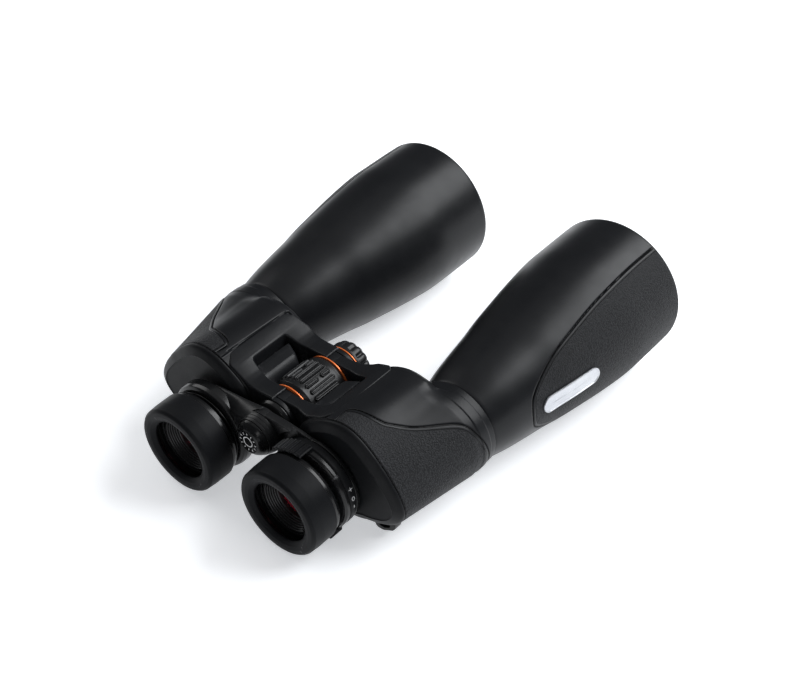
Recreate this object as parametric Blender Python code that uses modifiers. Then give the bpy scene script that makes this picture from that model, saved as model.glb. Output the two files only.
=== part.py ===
"""Astronomy binoculars, 15x70 class, Porro prism, centre focus.

Modelled in an instrument frame whose +Y axis is the centre hinge, running from
the eyecups (y = 0) to the objectives, with +X to the right half and +Z up. The
whole instrument hangs from one empty that pitches it by the few degrees it
takes when it lies on a table on its objective barrels and its two strap lugs.
"""

import math

import bmesh
import bpy
import numpy as np
from mathutils import Vector

MM = 0.001

# ---------------------------------------------------------------- dimensions, mm
PITCH = math.radians(3.07)      # nose-up attitude on a table
EYE_X, EYE_Z = 34.2, -13.65     # eyepiece axis, 36.8 from the hinge
OBJ_X, OBJ_Z = 65.0, -9.0       # objective axis
COVER_FACE, SEAM = 33.5, 38.0   # rear cover face, rear end of the prism housing
SHOULDER = 92.0                 # front face of the prism housing
COLLAR_R, COLLAR_END = 24.4, 98.2
RIM_Y, RIM_R = 242.6, 40.0
LUG_FOOT = -40.45               # underside of the strap lugs, which touch the table
LUG_R = 12.2                    # hinge knuckles
AXLE_R = 6.0
PIN_Y = 63.3                    # pin between the focus rod and the drive nut
WHEEL_Y0, WHEEL_Y1, WHEEL_R = 48.7, 77.0, 15.2
CUP_R, CUP_HOLE, CUP_END = 24.5, 16.4, 18.2
WALL = 2.6
GAP = 0.3
RING = 30                       # points round a section of the prism housing

# outer radius of an objective barrel against its distance along the axis
BARREL = [(98.4, 23.3), (111, 26.3), (124, 28.6), (138, 30.8), (151, 33.3), (164, 35.3),
          (177, 37.2), (190, 38.8), (203, 40.1), (216, 40.3), (229, 40.4), (240.6, 40.1)]
# prism housing section at the rear seam and at the shoulder: (x, z)
MIDDLE = (47.0, -6.0)
REAR = [(82.4, -12.5), (79.6, -5), (75, 2.2), (68.4, 10.2), (62, 16.4), (57.3, 20), (51.5, 22.8),
        (45, 23.6), (38, 22), (31, 18.6), (25, 15), (19.5, 10.5), (16.8, 5), (15.2, -2), (13.6, -9),
        (13.2, -18), (14.6, -26), (19, -32), (27, -35.5), (36, -36), (47, -34), (60, -30.5),
        (69, -27.5), (76.5, -23.5), (80.8, -18.6)]
FRONT = [(89.5, -9), (86.2, 3.25), (82.3, 8.3), (77.25, 12.2), (71.3, 14.9), (65, 16.9),
         (58, 19.3), (50, 21.3), (43, 21.6), (36, 19.8), (30, 16.5), (25, 12.5), (21, 7), (18.5, 0),
         (17.4, -8), (17.6, -18), (21, -26), (28, -31), (38, -33), (50, -33.5), (60, -34), (68, -33.4),
         (75, -31.4), (82.3, -26.3), (86.5, -20.9)]
# upper edge of the side grip on the prism housing: (y, angle about MIDDLE in degrees)
HOUSING_GRIP = [(39.2, 110), (48.8, 110), (49.6, 95), (52.7, 71), (56.8, 59.6),
                (61.9, 48.8), (72.7, 35.5), (80.8, 27.5), (87.1, 14.3)]
# half angle of the side inlay on a barrel, about a line 5 degrees above the side
BARREL_GRIP = [(123.5, 5), (125, 17), (131, 26.7), (144, 38.5),
               (162, 45.5), (190, 51.5), (216, 53.5), (239.8, 53)]

# ------------------------------------------------------------------- scene set-up
for old in list(bpy.data.objects):
    bpy.data.objects.remove(old, do_unlink=True)

parts = bpy.data.collections.new("astronomy_binoculars")
cutters = bpy.data.collections.new("cutters")
for col in (parts, cutters):
    bpy.context.scene.collection.children.link(col)


def material(name, colour, rough, metal=0.0):
    mat = bpy.data.materials.new(name)
    mat.use_nodes = True
    bsdf = mat.node_tree.nodes["Principled BSDF"]
    bsdf.inputs["Base Color"].default_value = (*colour, 1.0)
    bsdf.inputs["Roughness"].default_value = rough
    bsdf.inputs["Metallic"].default_value = metal
    mat.diffuse_color = (*colour, 1.0)
    return mat


ARMOUR = material("rubber_armour", (0.022, 0.023, 0.026), 0.48)
STIPPLE = material("stippled_rubber", (0.026, 0.027, 0.030), 0.72)
CUP_RUBBER = material("eyecup_rubber", (0.024, 0.025, 0.027), 0.55)
GLOSS = material("gloss_black", (0.010, 0.010, 0.011), 0.22)
BLACK = material("anodised_black", (0.012, 0.012, 0.013), 0.40, 0.6)
STEEL = material("steel", (0.55, 0.55, 0.56), 0.30, 1.0)
BRASS = material("brass", (0.70, 0.52, 0.26), 0.32, 1.0)
ORANGE = material("anodised_orange", (0.90, 0.20, 0.04), 0.35, 0.5)
SILVER = material("badge_silver", (0.72, 0.73, 0.75), 0.28, 0.9)
GLASS = material("optical_glass", (0.62, 0.72, 0.68), 0.03)


def empty(name, x=0.0, y=0.0, z=0.0, parent=None):
    obj = bpy.data.objects.new(name, None)
    obj.empty_display_size = 0.01
    parts.objects.link(obj)
    obj.parent = parent
    obj.location = (x * MM, y * MM, z * MM)
    return obj


# ------------------------------------------------------------------ where it rests
LOWEST = min(((OBJ_Z - r) * math.cos(PITCH) + y * math.sin(PITCH)) for y, r in
             [(y, float(np.interp(y, [b[0] for b in BARREL], [b[1] for b in BARREL])))
              for y in np.arange(150.0, 240.0, 0.25)])
REAR_MOST = -(EYE_Z + 23.2) * math.sin(PITCH)
FRONT_MOST = RIM_Y * math.cos(PITCH) - (OBJ_Z - RIM_R + 0.3) * math.sin(PITCH)
rest = empty("rest_frame")
rest.location = (0.0, -(REAR_MOST + FRONT_MOST) / 2 * MM, -LOWEST * MM)
rest.rotation_euler = (PITCH, 0.0, 0.0)

# joint axes, all parallel to the hinge
hinge_axis = empty("hinge_axis", parent=rest)
bridge_axis = empty("bridge_slide_axis", parent=rest)
focus_axis = empty("focus_axis", parent=rest)
bridge_right_axis = empty("bridge_right_axis", parent=bridge_axis)
diopter_axis = empty("diopter_axis", EYE_X, 0, EYE_Z, bridge_right_axis)
left_eye_axis = empty("left_eyepiece_axis", -EYE_X, 0, EYE_Z, bridge_axis)
cap_axis = empty("tripod_cap_axis", parent=rest)


# ----------------------------------------------------------------- shape functions
def finish(name, mesh, mat, parent, loc, collection=parts):
    obj = bpy.data.objects.new(name, mesh)
    collection.objects.link(obj)
    mesh.materials.append(mat)
    obj.parent = parent
    obj.location = Vector(loc) * MM
    if collection is cutters:
        obj.hide_render = True
        obj.display_type = "WIRE"
    return obj


def turned(name, profile, axis, mat, parent=rest, steps=22, solid=False, collection=parts):
    """Turns (radius, y) points about a line parallel to the hinge through axis = (x, z)."""
    pts = list(profile)
    area = sum(a[0] * b[1] - b[0] * a[1] for a, b in zip(pts, pts[1:] + pts[:1]))
    if area > 0:
        pts.reverse()
    mesh = bpy.data.meshes.new(name)
    bm = bmesh.new()
    ring = [bm.verts.new((r * MM, 0.0, y * MM)) for r, y in pts]
    for a, b in zip(ring, ring[1:]):
        bm.edges.new((a, b))
    if not solid:
        bm.edges.new((ring[-1], ring[0]))
    bm.to_mesh(mesh)
    bm.free()
    obj = finish(name, mesh, mat, parent, (axis[0], 0.0, axis[1]), collection)
    obj.rotation_euler = (-math.pi / 2, 0.0, 0.0)
    mod = obj.modifiers.new("turn", "SCREW")
    mod.axis = "Z"
    mod.angle = 2 * math.pi
    mod.steps = mod.render_steps = steps
    mod.use_merge_vertices = True
    mod.merge_threshold = 0.00001
    mod.use_smooth_shade = True
    return obj


def loft(name, rings, mat, parent=rest, origin=(0.0, 0.0, 0.0), collection=parts, wrap=False):
    """Skins a row of closed rings of (x, y, z) points; wrap joins the last ring to the first."""
    mesh = bpy.data.meshes.new(name)
    bm = bmesh.new()
    o = Vector(origin)
    rows = [[bm.verts.new((Vector(p) - o) * MM) for p in ring] for ring in rings]
    pairs = list(zip(rows, rows[1:]))
    if wrap:
        pairs.append((rows[-1], rows[0]))
    for low, high in pairs:
        for i in range(len(low)):
            j = (i + 1) % len(low)
            bm.faces.new((low[i], low[j], high[j], high[i]))
    if not wrap:
        bm.faces.new(rows[0])
        bm.faces.new(rows[-1])
    bmesh.ops.recalc_face_normals(bm, faces=bm.faces)
    bm.to_mesh(mesh)
    bm.free()
    return finish(name, mesh, mat, parent, origin, collection)


def plate(name, outline, y0, y1, mat, parent=rest, origin=(0.0, 0.0, 0.0), collection=parts):
    """Extrudes an (x, z) outline along the hinge from y0 to y1."""
    mesh = bpy.data.meshes.new(name)
    bm = bmesh.new()
    face = bm.faces.new([bm.verts.new((Vector((x, y0, z)) - Vector(origin)) * MM) for x, z in outline])
    out = bmesh.ops.extrude_face_region(bm, geom=[face])
    moved = [v for v in out["geom"] if isinstance(v, bmesh.types.BMVert)]
    bmesh.ops.translate(bm, verts=moved, vec=(0.0, (y1 - y0) * MM, 0.0))
    bmesh.ops.recalc_face_normals(bm, faces=bm.faces)
    bm.to_mesh(mesh)
    bm.free()
    return finish(name, mesh, mat, parent, origin, collection)


def boolean(obj, other, operation="DIFFERENCE"):
    mod = obj.modifiers.new(operation.lower(), "BOOLEAN")
    mod.object = other
    mod.operation = operation
    mod.solver = "EXACT"
    return obj


def cut_round(obj, axis, radius, y0, y1, steps=22):
    tool = turned(f"cut_{obj.name}_{len(obj.modifiers)}", [(0, y1), (radius, y1), (radius, y0), (0, y0)],
                  axis, STEEL, obj.parent, steps, True, cutters)
    base = obj.parent
    if base is not None and base is not rest:
        tool.location = Vector((axis[0], 0.0, axis[1])) * MM - parent_offset(base) * MM
    return boolean(obj, tool)


def parent_offset(node):
    """Place of an empty in the instrument frame, mm."""
    total = Vector((0.0, 0.0, 0.0))
    while node is not None and node is not rest:
        total += node.location / MM
        node = node.parent
    return total


def circle(cx, cz, radius, a0, a1, steps):
    return [(cx + radius * math.cos(math.radians(a)), cz + radius * math.sin(math.radians(a)))
            for a in np.linspace(a0, a1, steps)]


# prism housing section, as a radius about MIDDLE against the angle
SAMPLES = 720
ANGLES = np.linspace(-math.pi, math.pi, SAMPLES, endpoint=False)


def section(points, soft=3.0):
    arm = np.array(points, float) - np.array(MIDDLE)
    ang, rad = np.arctan2(arm[:, 1], arm[:, 0]), np.hypot(arm[:, 0], arm[:, 1])
    order = np.argsort(ang)
    ang, rad = ang[order], rad[order]
    dense = np.interp(ANGLES, np.concatenate([ang[-1:] - 2 * math.pi, ang, ang[:1] + 2 * math.pi]),
                      np.concatenate([rad[-1:], rad, rad[:1]]))
    blur = np.exp(-0.5 * (np.arange(-SAMPLES // 2, SAMPLES // 2) * 360 / SAMPLES / soft) ** 2)
    blur /= blur.sum()
    return np.real(np.fft.ifft(np.fft.fft(dense) * np.fft.fft(np.fft.ifftshift(blur))))


REAR_R, FRONT_R = section(REAR), section(FRONT)


def housing_radius(angle, y, inset=0.0):
    mix = min(max((y - SEAM) / (84.0 - SEAM), 0.0), 1.0)
    row = (1 - mix) * REAR_R + mix * FRONT_R - inset
    return float(np.interp(angle, np.append(ANGLES, math.pi), np.append(row, row[0])))


def collar_radius(angle, radius):
    dx, dz = OBJ_X - MIDDLE[0], OBJ_Z - MIDDLE[1]
    along = dx * math.cos(angle) + dz * math.sin(angle)
    return along + math.sqrt(radius * radius - dx * dx - dz * dz + along * along)


def housing_ring(side, y, count, inset=0.0, collar=None, only_collar=False, at=None):
    ring = []
    for k in range(count):
        a = -math.pi + 2 * math.pi * k / count
        r = 0.0 if only_collar else housing_radius(a, y, inset)
        if collar:
            r = max(r, collar_radius(a, collar))
        ring.append((side * (MIDDLE[0] + r * math.cos(a)), y if at is None else at, MIDDLE[1] + r * math.sin(a)))
    return ring


def barrel_radius(y):
    return float(np.interp(y, [b[0] for b in BARREL], [b[1] for b in BARREL]))


def patch(name, stations, place, outer, inner, mat, parent, columns, collection=parts, margin=0.0):
    """A curved sheet of even thickness. Each station is (y, low angle, high angle); place turns
    (y, angle, offset) into a point, and outer and inner are the offsets of the two skins. A margin
    in degrees widens it on every side, for the recess that the sheet lies in."""
    rings = []
    if margin:
        stations = [(stations[0][0] - 0.4, *stations[0][1:])] + stations + [(stations[-1][0] + 0.4, *stations[-1][1:])]
    rows = [list(column) for column in zip(*stations)]
    least, most = min(rows[1]), max(rows[2])
    for y, low, high in stations:
        # the columns keep their angles, and bunch up only where the edge cuts across them
        fan = [min(max(least + (most - least) * k / columns, low + k * 0.6), high - (columns - k) * 0.6)
               for k in range(columns + 1)]
        if margin:
            near = (y - 0.45, y, y + 0.45)
            fan = [min(np.interp(near, rows[0], rows[1])) - margin] + fan + [max(np.interp(near, rows[0], rows[2])) + margin]
        rings.append([place(y, a, outer) for a in fan] + [place(y, a, inner) for a in reversed(fan)])
    return loft(name, rings, mat, parent, collection=collection)


# ------------------------------------------------------------------- the two halves
ARM_TOP = [(2.3, 12.0), (10, 12.0), (18, 12.5), (24, 14.6), (28, 16.4), (33, 16.4)]
ARM_LOW = [(33, -12), (20, -11.5), (8, -10.5)]


def side_parts(name, side):
    right = side > 0
    base = hinge_axis if right else rest
    eye = (side * EYE_X, EYE_Z)
    obj_axis = (side * OBJ_X, OBJ_Z)

    # prism housing: a cast shell, open at the rear, with a shoulder and a round collar
    body = loft(f"{name}_prism_housing", [
        housing_ring(side, SEAM, RING), housing_ring(side, 53, RING), housing_ring(side, 68, RING),
        housing_ring(side, 84, RING), housing_ring(side, 88.6, RING), housing_ring(side, 90.9, RING, 1.0, COLLAR_R),
        housing_ring(side, SHOULDER, RING, 3.2, COLLAR_R),
        housing_ring(side, 92.3, RING, 0, COLLAR_R, True), housing_ring(side, 97.7, RING, 0, COLLAR_R, True),
        housing_ring(side, COLLAR_END, RING, 0, COLLAR_R - 0.5, True)], ARMOUR, base)

    # hinge arms, front and rear, joined to the shell
    if right:
        knuckles = [(41.2, 48.4), (77.4, 84.3)]
        spans = knuckles
        outline = ARM_TOP + ARM_LOW + circle(0, 0, LUG_R, -128, -281, 17)
    else:
        knuckles = [(38.2, 40.9), (84.6, 87.1)]
        spans = [(38.2, 48.4), (77.4, 87.1)]
        outline = [(-1.5, 13.6), (-10, 13.2), (-18, 13.2), (-24, 15.0), (-28, 16.6), (-33, 16.6),
                   (-33, -12), (-20, -11.5), (-8, -10.5), (-7.7, -9.6), (-4, -5), (-4, 5), (-1.5, 9)]
    for k, (y0, y1) in enumerate(spans):
        arm = plate(f"arm_{name}_{k}", outline, y0, y1, STEEL, base, collection=cutters)
        boolean(body, arm, "UNION")
    if not right:
        for y0, y1 in [(40.9, 50.0), (76.0, 84.6)]:
            cut_round(body, (0, 0), LUG_R + GAP, y0, y1)
        for k, (y0, y1) in enumerate(knuckles):
            disc = turned(f"knuckle_{k}", [(0, y1), (LUG_R, y1), (LUG_R, y0), (0, y0)], (0, 0), STEEL,
                          rest, 24, True, cutters)
            boolean(body, disc, "UNION")
    # room for the prisms, and the way out to the barrel
    hollow = loft(f"hollow_{name}", [
        housing_ring(side, SEAM, 24, WALL, at=30.0), housing_ring(side, SEAM, 24, WALL),
        housing_ring(side, 84, 24, WALL), housing_ring(side, 88.4, 24, WALL + 0.6)],
        STEEL, base, collection=cutters)
    boolean(body, hollow)
    cut_round(body, obj_axis, 20.8, 80, 100)
    cut_round(body, (0, 0), AXLE_R + GAP, 30, 100)

    # side grip let into the housing
    def on_housing(y, angle, off):
        a = math.radians(angle)
        r = housing_radius(a, y) + off
        return (side * (MIDDLE[0] + r * math.cos(a)), y, MIDDLE[1] + r * math.sin(a))
    grip_rows = [(y, -118.0, top) for y, top in HOUSING_GRIP]
    patch(f"{name}_housing_grip", grip_rows, on_housing, 0.15, -0.9, STIPPLE, base, 13)
    boolean(body, patch(f"recess_{name}_grip", grip_rows, on_housing, 3.0, -1.3, STEEL, base, 13, cutters, 0.9))

    # rear cover with the eyepiece hole
    cover = loft(f"{name}_rear_cover", [
        housing_ring(side, SEAM, RING, 0.2, at=SEAM - GAP), housing_ring(side, SEAM, RING, 0.2, at=36.4),
        housing_ring(side, SEAM, RING, 1.0, at=35.0), housing_ring(side, SEAM, RING, 2.5, at=34.0),
        housing_ring(side, SEAM, RING, 4.8, at=COVER_FACE)], ARMOUR, base)
    cut_round(cover, eye, 18.1, 30, 40)

    # guide tube for the eyepiece
    turned(f"{name}_eyepiece_guide", [(16.6, 34.4), (17.7, 34.4), (17.7, 45.4), (16.6, 45.4)], eye, BLACK, base)

    # prisms either side of a shelf, light stepping 22 mm each time
    half, width = 19.3, 8.8
    for tag, start, direction, flat_y, sign in (("rear", obj_axis, 143.6, 66.0, -1), ("front", None, 233.6, 68.3, 1)):
        d = math.radians(direction)
        first = np.array([OBJ_X, OBJ_Z])
        step1 = 22.0 * np.array([math.cos(math.radians(143.6)), math.sin(math.radians(143.6))])
        mid = first + (step1 / 2 if tag == "rear" else step1 + 11.0 * np.array([math.cos(d), math.sin(d)]))
        u, v = np.array([math.cos(d), math.sin(d)]), np.array([-math.sin(d), math.cos(d)])
        rings = []
        for w in (-width, width):
            ring = []
            for s, depth in ((-half, 0), (half, 0), (half, 1.2), (1.2, half), (-1.2, half), (-half, 1.2)):
                q = mid + u * s + v * w
                ring.append((side * q[0], flat_y + sign * depth, q[1]))
            rings.append(ring)
        loft(f"{name}_porro_prism_{tag}", rings, GLASS, base)
    shelf = loft(f"{name}_prism_shelf", [housing_ring(side, 66.3, 18, WALL + 1.5), housing_ring(side, 68.0, 18, WALL + 1.5)],
                 BLACK, base)
    for cx, cz in ((OBJ_X, OBJ_Z), (OBJ_X - 17.7, OBJ_Z + 13.05), (EYE_X, EYE_Z)):
        cut_round(shelf, (side * cx, cz), 8.6, 60, 75, 14)

    # objective barrel: a trumpet tube whose spigot sits in the collar
    outer = [(20.4, 90.0), (20.4, 98.3), (22.8, 98.5)] + [(r, y) for y, r in BARREL[1:] if y in (111, 138, 164, 190, 203, 240.6)] + [(39.6, 242.3), (39.2, RIM_Y)]
    inner = [(37.8, RIM_Y), (36.9, 222.0), (36.9, 207.4), (34.4, 207.2),
             (31.0, 170.0), (18.4, 98.0), (18.4, 90.0)]
    tube = turned(f"{name}_objective_tube", outer + inner, obj_axis, ARMOUR, base, 28)

    # side inlay on the barrel
    def on_barrel(y, angle, off):
        a = math.radians(angle)
        r = barrel_radius(y) + off
        return (side * (OBJ_X + r * math.cos(a)), y, OBJ_Z + r * math.sin(a))
    inlay = [(y, 5 - h, 5 + h) for y, h in BARREL_GRIP]
    patch(f"{name}_barrel_grip", inlay, on_barrel, 0.1, -0.9, STIPPLE, base, 8)
    boolean(tube, patch(f"recess_{name}_inlay", inlay, on_barrel, 2.0, -1.3, STEEL, base, 8, cutters, 0.7))

    # objective doublet and its retaining ring
    turned(f"{name}_objective_crown_lens", [(0, 219.6), (20, 218.0), (36.4, 213.8), (36.4, 212.6), (18, 211.0), (0, 210.3)], obj_axis, GLASS, base, 24, True)
    turned(f"{name}_objective_flint_lens", [(0, 209.9), (18, 210.6), (36.4, 212.2), (36.4, 207.7),
           (0, 207.7)], obj_axis, GLASS, base, 24, True)
    turned(f"{name}_lens_retainer", [(36.5, 214.2), (34.9, 215.2), (34.9, 217.6), (36.5, 217.6)], obj_axis, BLACK, base)

    # strap lug under the outer edge, which is also the rear foot
    x = lambda v: side * v
    lug = plate(f"{name}_strap_lug", [(x(57.2), -32.9), (x(58.2), -39.6), (x(60), LUG_FOOT), (x(63.4), LUG_FOOT),
                (x(69.2), -37.2), (x(71.2), -34.6), (x(71.0), -29.0)], 42.0, 47.4, GLOSS, base)
    slot = plate(f"slot_{name}_lug", [(x(60.3), -33.0), (x(60.9), -37.9), (x(64.5), -37.9), (x(67.6), -36.0),
                 (x(68.2), -30.95)], 40.0, 50.0, STEEL, base, collection=cutters)
    boolean(lug, slot)
    return base


side_parts("left", -1)
side_parts("right", 1)


# blank silver plate on the right barrel's inlay
def on_right_barrel(y, angle, off):
    a = math.radians(angle)
    r = barrel_radius(y) + off
    return (OBJ_X + r * math.cos(a), y, OBJ_Z + r * math.sin(a))


badge_rows = []
for k in range(9):
    y = 131.0 + 40.4 * (1 - math.cos(math.pi * k / 8)) / 2
    t = min(y - 131.0, 171.4 - y)
    w = 5.3 * math.sqrt(max(1 - (1 - min(t / 5.3, 1)) ** 2, 0.02))
    h = math.degrees(w / barrel_radius(y))
    badge_rows.append((y, 4.7 - h, 4.7 + h))
patch("right_name_plate", badge_rows, on_right_barrel, 1.1, 0.4, SILVER, hinge_axis, 4)

# --------------------------------------------------------------------- centre hinge
axle = turned("hinge_axle", [(4.6, 33.9), (AXLE_R, 33.9), (AXLE_R, 86.9), (4.6, 86.9)], (0, 0), STEEL)
slot = plate("slot_axle", [(-8, -1.7), (8, -1.7), (8, 1.7), (-8, 1.7)], 53.2, 66.2, STEEL, rest, collection=cutters)
boolean(axle, slot)
turned("hinge_tension_nut", [(6.3, 33.6), (8.6, 33.6), (11.0, 35.2), (11.9, 37.9), (6.3, 37.9)], (0, 0), GLOSS)
turned("tripod_bushing", [(3.2, 68.0), (4.3, 68.0), (4.3, 86.9), (3.2, 86.9)], (0, 0), BRASS, steps=24)

# focus wheel: chamfered ends, raised ribs between
wheel = turned("focus_wheel", [(6.4, 49.7), (12.6, 49.7), (13.9, 53.0), (13.9, 72.6), (12.6, 76.0),
               (6.4, 76.0), (6.4, 66.3), (9.9, 66.3), (9.9, 53.4), (6.4, 53.4)], (0, 0), BLACK, focus_axis, 24)
for k in range(9):
    a = 2 * math.pi * (k + 0.5) / 9
    rib = [(math.cos(a) * u - math.sin(a) * w, math.sin(a) * u + math.cos(a) * w)
           for u, w in ((12.4, -3.3), (14.6, -3.2), (15.1, -1.0), (15.1, 1.0), (14.6, 3.2), (12.4, 3.3))]
    boolean(wheel, plate(f"rib_{k}", rib, 53.6, 72.0, STEEL, focus_axis, collection=cutters), "UNION")
turned("focus_wheel_ring_rear", [(6.5, 48.7), (13.6, 48.7), (13.6, 49.4), (6.5, 49.4)], (0, 0), ORANGE, focus_axis, 24)
turned("focus_wheel_ring_front", [(6.5, 76.3), (13.6, 76.3), (13.6, 77.0), (6.5, 77.0)], (0, 0), ORANGE, focus_axis, 24)
turned("focus_drive_nut", [(7.8, 53.8), (9.5, 53.8), (9.5, 65.9), (7.8, 65.9)], (0, 0), BRASS, focus_axis, 24)

# cap over the tripod socket
turned("tripod_cap_ring", [(4.0, 87.4), (12.5, 87.4), (12.5, 88.0), (4.0, 88.0)], (0, 0), ORANGE, cap_axis, 24)
cap = turned("tripod_cap", [(0, 97.2), (7.5, 97.0), (10.4, 96.2), (11.6, 94.4), (12.2, 91.0), (12.2, 88.9), (11.8, 88.3), (2.9, 88.3),
             (2.9, 80.6), (0, 80.2)], (0, 0), BLACK, cap_axis, 24, True)
for k in range(8):
    a = 2 * math.pi * k / 8
    cut_round(cap, (math.cos(a) * 13.9, math.sin(a) * 13.9), 2.6, 90.4, 99.0, 8)

# --------------------------------------------------------------- bridge and eyepieces
RING_R = 24.5


def cup_profile():
    return [(CUP_HOLE + 1.6, 0.0), (23.2, 0.0), (24.0, 1.2), (CUP_R, 8.0), (CUP_R, CUP_END),
            (18.6, CUP_END), (18.6, 2.6), (CUP_HOLE, 2.3), (CUP_HOLE, 1.2)]


def eyepiece(name, axis_empty, eyepiece_parent):
    """Turned parts about the eyepiece axis; axis_empty sits on it."""
    sleeve_end = 21.2 if name == "left" else 20.4

    def on_axis(part, profile, mat, steps=24, solid=False):
        obj = turned(part, profile, (0, 0), mat, eyepiece_parent, steps, solid)
        return obj
    # the left body has a flange that seats on its arm; the right one slides through the dioptre ring
    seat = [(21.3, 21.6), (21.3, 22.2)] if name == "left" else []
    on_axis(f"{name}_eyepiece_body", [(16.0, 7.6), (16.0, 21.5)] + seat + [(16.3, 22.3), (16.3, 44.4),
            (12.6, 44.4), (12.6, 17.6), (10.9, 17.5), (10.9, 12.6), (15.0, 7.6)], BLACK, 20)
    on_axis(f"{name}_eye_lens", [(0, 13.0), (6, 13.4), (10.5, 14.4), (10.5, 17.0), (0, 17.2)], GLASS, 20, True)
    on_axis(f"{name}_field_lens", [(0, 33.6), (12.2, 35.0), (12.2, 38.0), (0, 39.4)], GLASS, 20, True)
    on_axis(f"{name}_eyecup_sleeve", [(16.4, 7.4), (18.0, 7.4), (18.0, sleeve_end), (16.4, sleeve_end)], GLOSS)
    on_axis(f"{name}_eyecup", cup_profile(), CUP_RUBBER, 26)


eyepiece("left", left_eye_axis, left_eye_axis)
eyepiece("right", diopter_axis, diopter_axis)

# left arm of the bridge, with the hub that carries the focus rod
arm_l = plate("bridge_left_arm", [(-1.5, 12.2), (-16, 11.8), (-30, 10.4), (-34.2, 9.4), (-34.2, -30), (-22, -29), (-16.0, -17), (-7, -10.2),
              (-2.5, -10.2), (-2.5, 9)], 22.6, 32.2, BLACK, bridge_axis)
boolean(arm_l, turned("hub_disc", [(0, 27.3), (12.0, 27.3), (12.0, 22.3), (0, 22.3)], (0, 0), STEEL, bridge_axis, 24, True, cutters), "UNION")
boolean(arm_l, turned("ring_left", [(0, 30.2), (24.2, 30.2), (RING_R, 29.6), (RING_R, 24.6), (23.2, 22.6), (0, 22.6)], (-EYE_X, EYE_Z), STEEL,
                      bridge_axis, 32, True, cutters), "UNION")
cut_round(arm_l, (0, 0), LUG_R + GAP - 0.3, 27.3, 40)
cut_round(arm_l, (-EYE_X, EYE_Z), 16.7, 10, 40)
cut_round(arm_l, (0, 0), 4.5, 24.2, 40, 24)
turned("bridge_hub_cap", [(0, 17.8), (6.5, 17.8), (7.2, 18.1), (9.2, 18.6), (10.9, 19.6), (12.0, 21.0), (12.3, 22.0), (0, 22.0)], (0, 0), GLOSS,
       bridge_axis, 24, True)
rod = turned("focus_rod", [(0, 24.5), (4.2, 24.5), (4.2, 66.0), (0, 66.0)], (0, 0), STEEL, bridge_axis, 24, True)
tool = turned("cut_pin_hole", [(0, 8.0), (1.5, 8.0), (1.5, -8.0), (0, -8.0)], (0, 0), STEEL, bridge_axis, 16, True, cutters)
tool.rotation_euler = (0.0, math.pi / 2, 0.0)
tool.location = Vector((0.0, PIN_Y, 0.0)) * MM
boolean(rod, tool)
pin = turned("focus_drive_pin", [(0, 7.4), (1.2, 7.4), (1.2, -7.4), (0, -7.4)], (0, 0), STEEL, bridge_axis, 16, True)
pin.rotation_euler = (0.0, math.pi / 2, 0.0)
pin.location = Vector((0.0, PIN_Y, 0.0)) * MM

# right arm, which swings with the right half
arm_r = plate("bridge_right_arm", [(2.6, 11.8), (16, 11.8), (30, 10.4), (34.2, 9.0), (34.2, -32), (22, -29), (16.0, -17), (7, -10.2),
              (0, -11.0), (-3, 0), (0, 9)], 27.8, 32.5, BLACK, bridge_right_axis)
boolean(arm_r, turned("hub_disc_right", [(0, 32.7), (11.8, 32.7), (11.8, 27.6), (0, 27.6)], (0, 0), STEEL, bridge_right_axis, 24, True, cutters), "UNION")
boolean(arm_r, turned("ring_right", [(0, 32.6), (24.0, 32.6), (24.0, 30.5), (0, 30.5)], (EYE_X, EYE_Z), STEEL, bridge_right_axis, 32, True, cutters), "UNION")
cut_round(arm_r, (EYE_X, EYE_Z), 28.8, 20, 30.4, 24)
cut_round(arm_r, (EYE_X, EYE_Z), 16.7, 10, 40, 24)
cut_round(arm_r, (0, 0), 4.5, 20, 40, 24)

# dioptre ring on the right eyepiece, with a ribbed thumb block and a small finger tab
ring = turned("diopter_ring", [(16.8, 22.5), (22.6, 22.5), (23.0, 23.2), (24.2, 24.8), (RING_R, 26.0), (RING_R, 30.1), (16.8, 30.1)], (0, 0), GLOSS,
              diopter_axis, 32)
block = plate("thumb_block", circle(0, 0, 27.6, 92, 131, 9) + circle(0, 0, 22.5, 131, 92, 9), 19.4, 29.6, STEEL, diopter_axis, collection=cutters)
boolean(ring, block, "UNION")
for k in range(5):
    a = math.radians(98 + 6.8 * k)
    groove = [(math.cos(a) * u - math.sin(a) * w, math.sin(a) * u + math.cos(a) * w) for u, w in ((26.5, -0.55), (29, -0.7), (29, 0.7), (26.5, 0.55))]
    boolean(ring, plate(f"thumb_groove_{k}", groove, 18.0, 31.0, STEEL, diopter_axis, collection=cutters))
tab = plate("finger_tab", circle(0, 0, 26.6, -58, -40, 5) + circle(0, 0, 22.5, -40, -58, 5), 22.9, 29.6, STEEL, diopter_axis, collection=cutters)
boolean(ring, tab, "UNION")
# the block clears the eyecup skirt
boolean(ring, turned("cut_block", [(0, 22.3), (25.0, 22.3), (25.0, 15.0), (0, 15.0)], (0, 0), STEEL, diopter_axis, 32, True, cutters))
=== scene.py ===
"""Looks of the astronomy binoculars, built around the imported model.

Shapes are made in the instrument frame (millimetres, +Y along the centre hinge from the eyecups
to the objectives, +X to the right half, +Z up) and are then pitched onto the table.
"""
import math

import bmesh
import bpy
import numpy as np
from mathutils import Matrix, Vector


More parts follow.
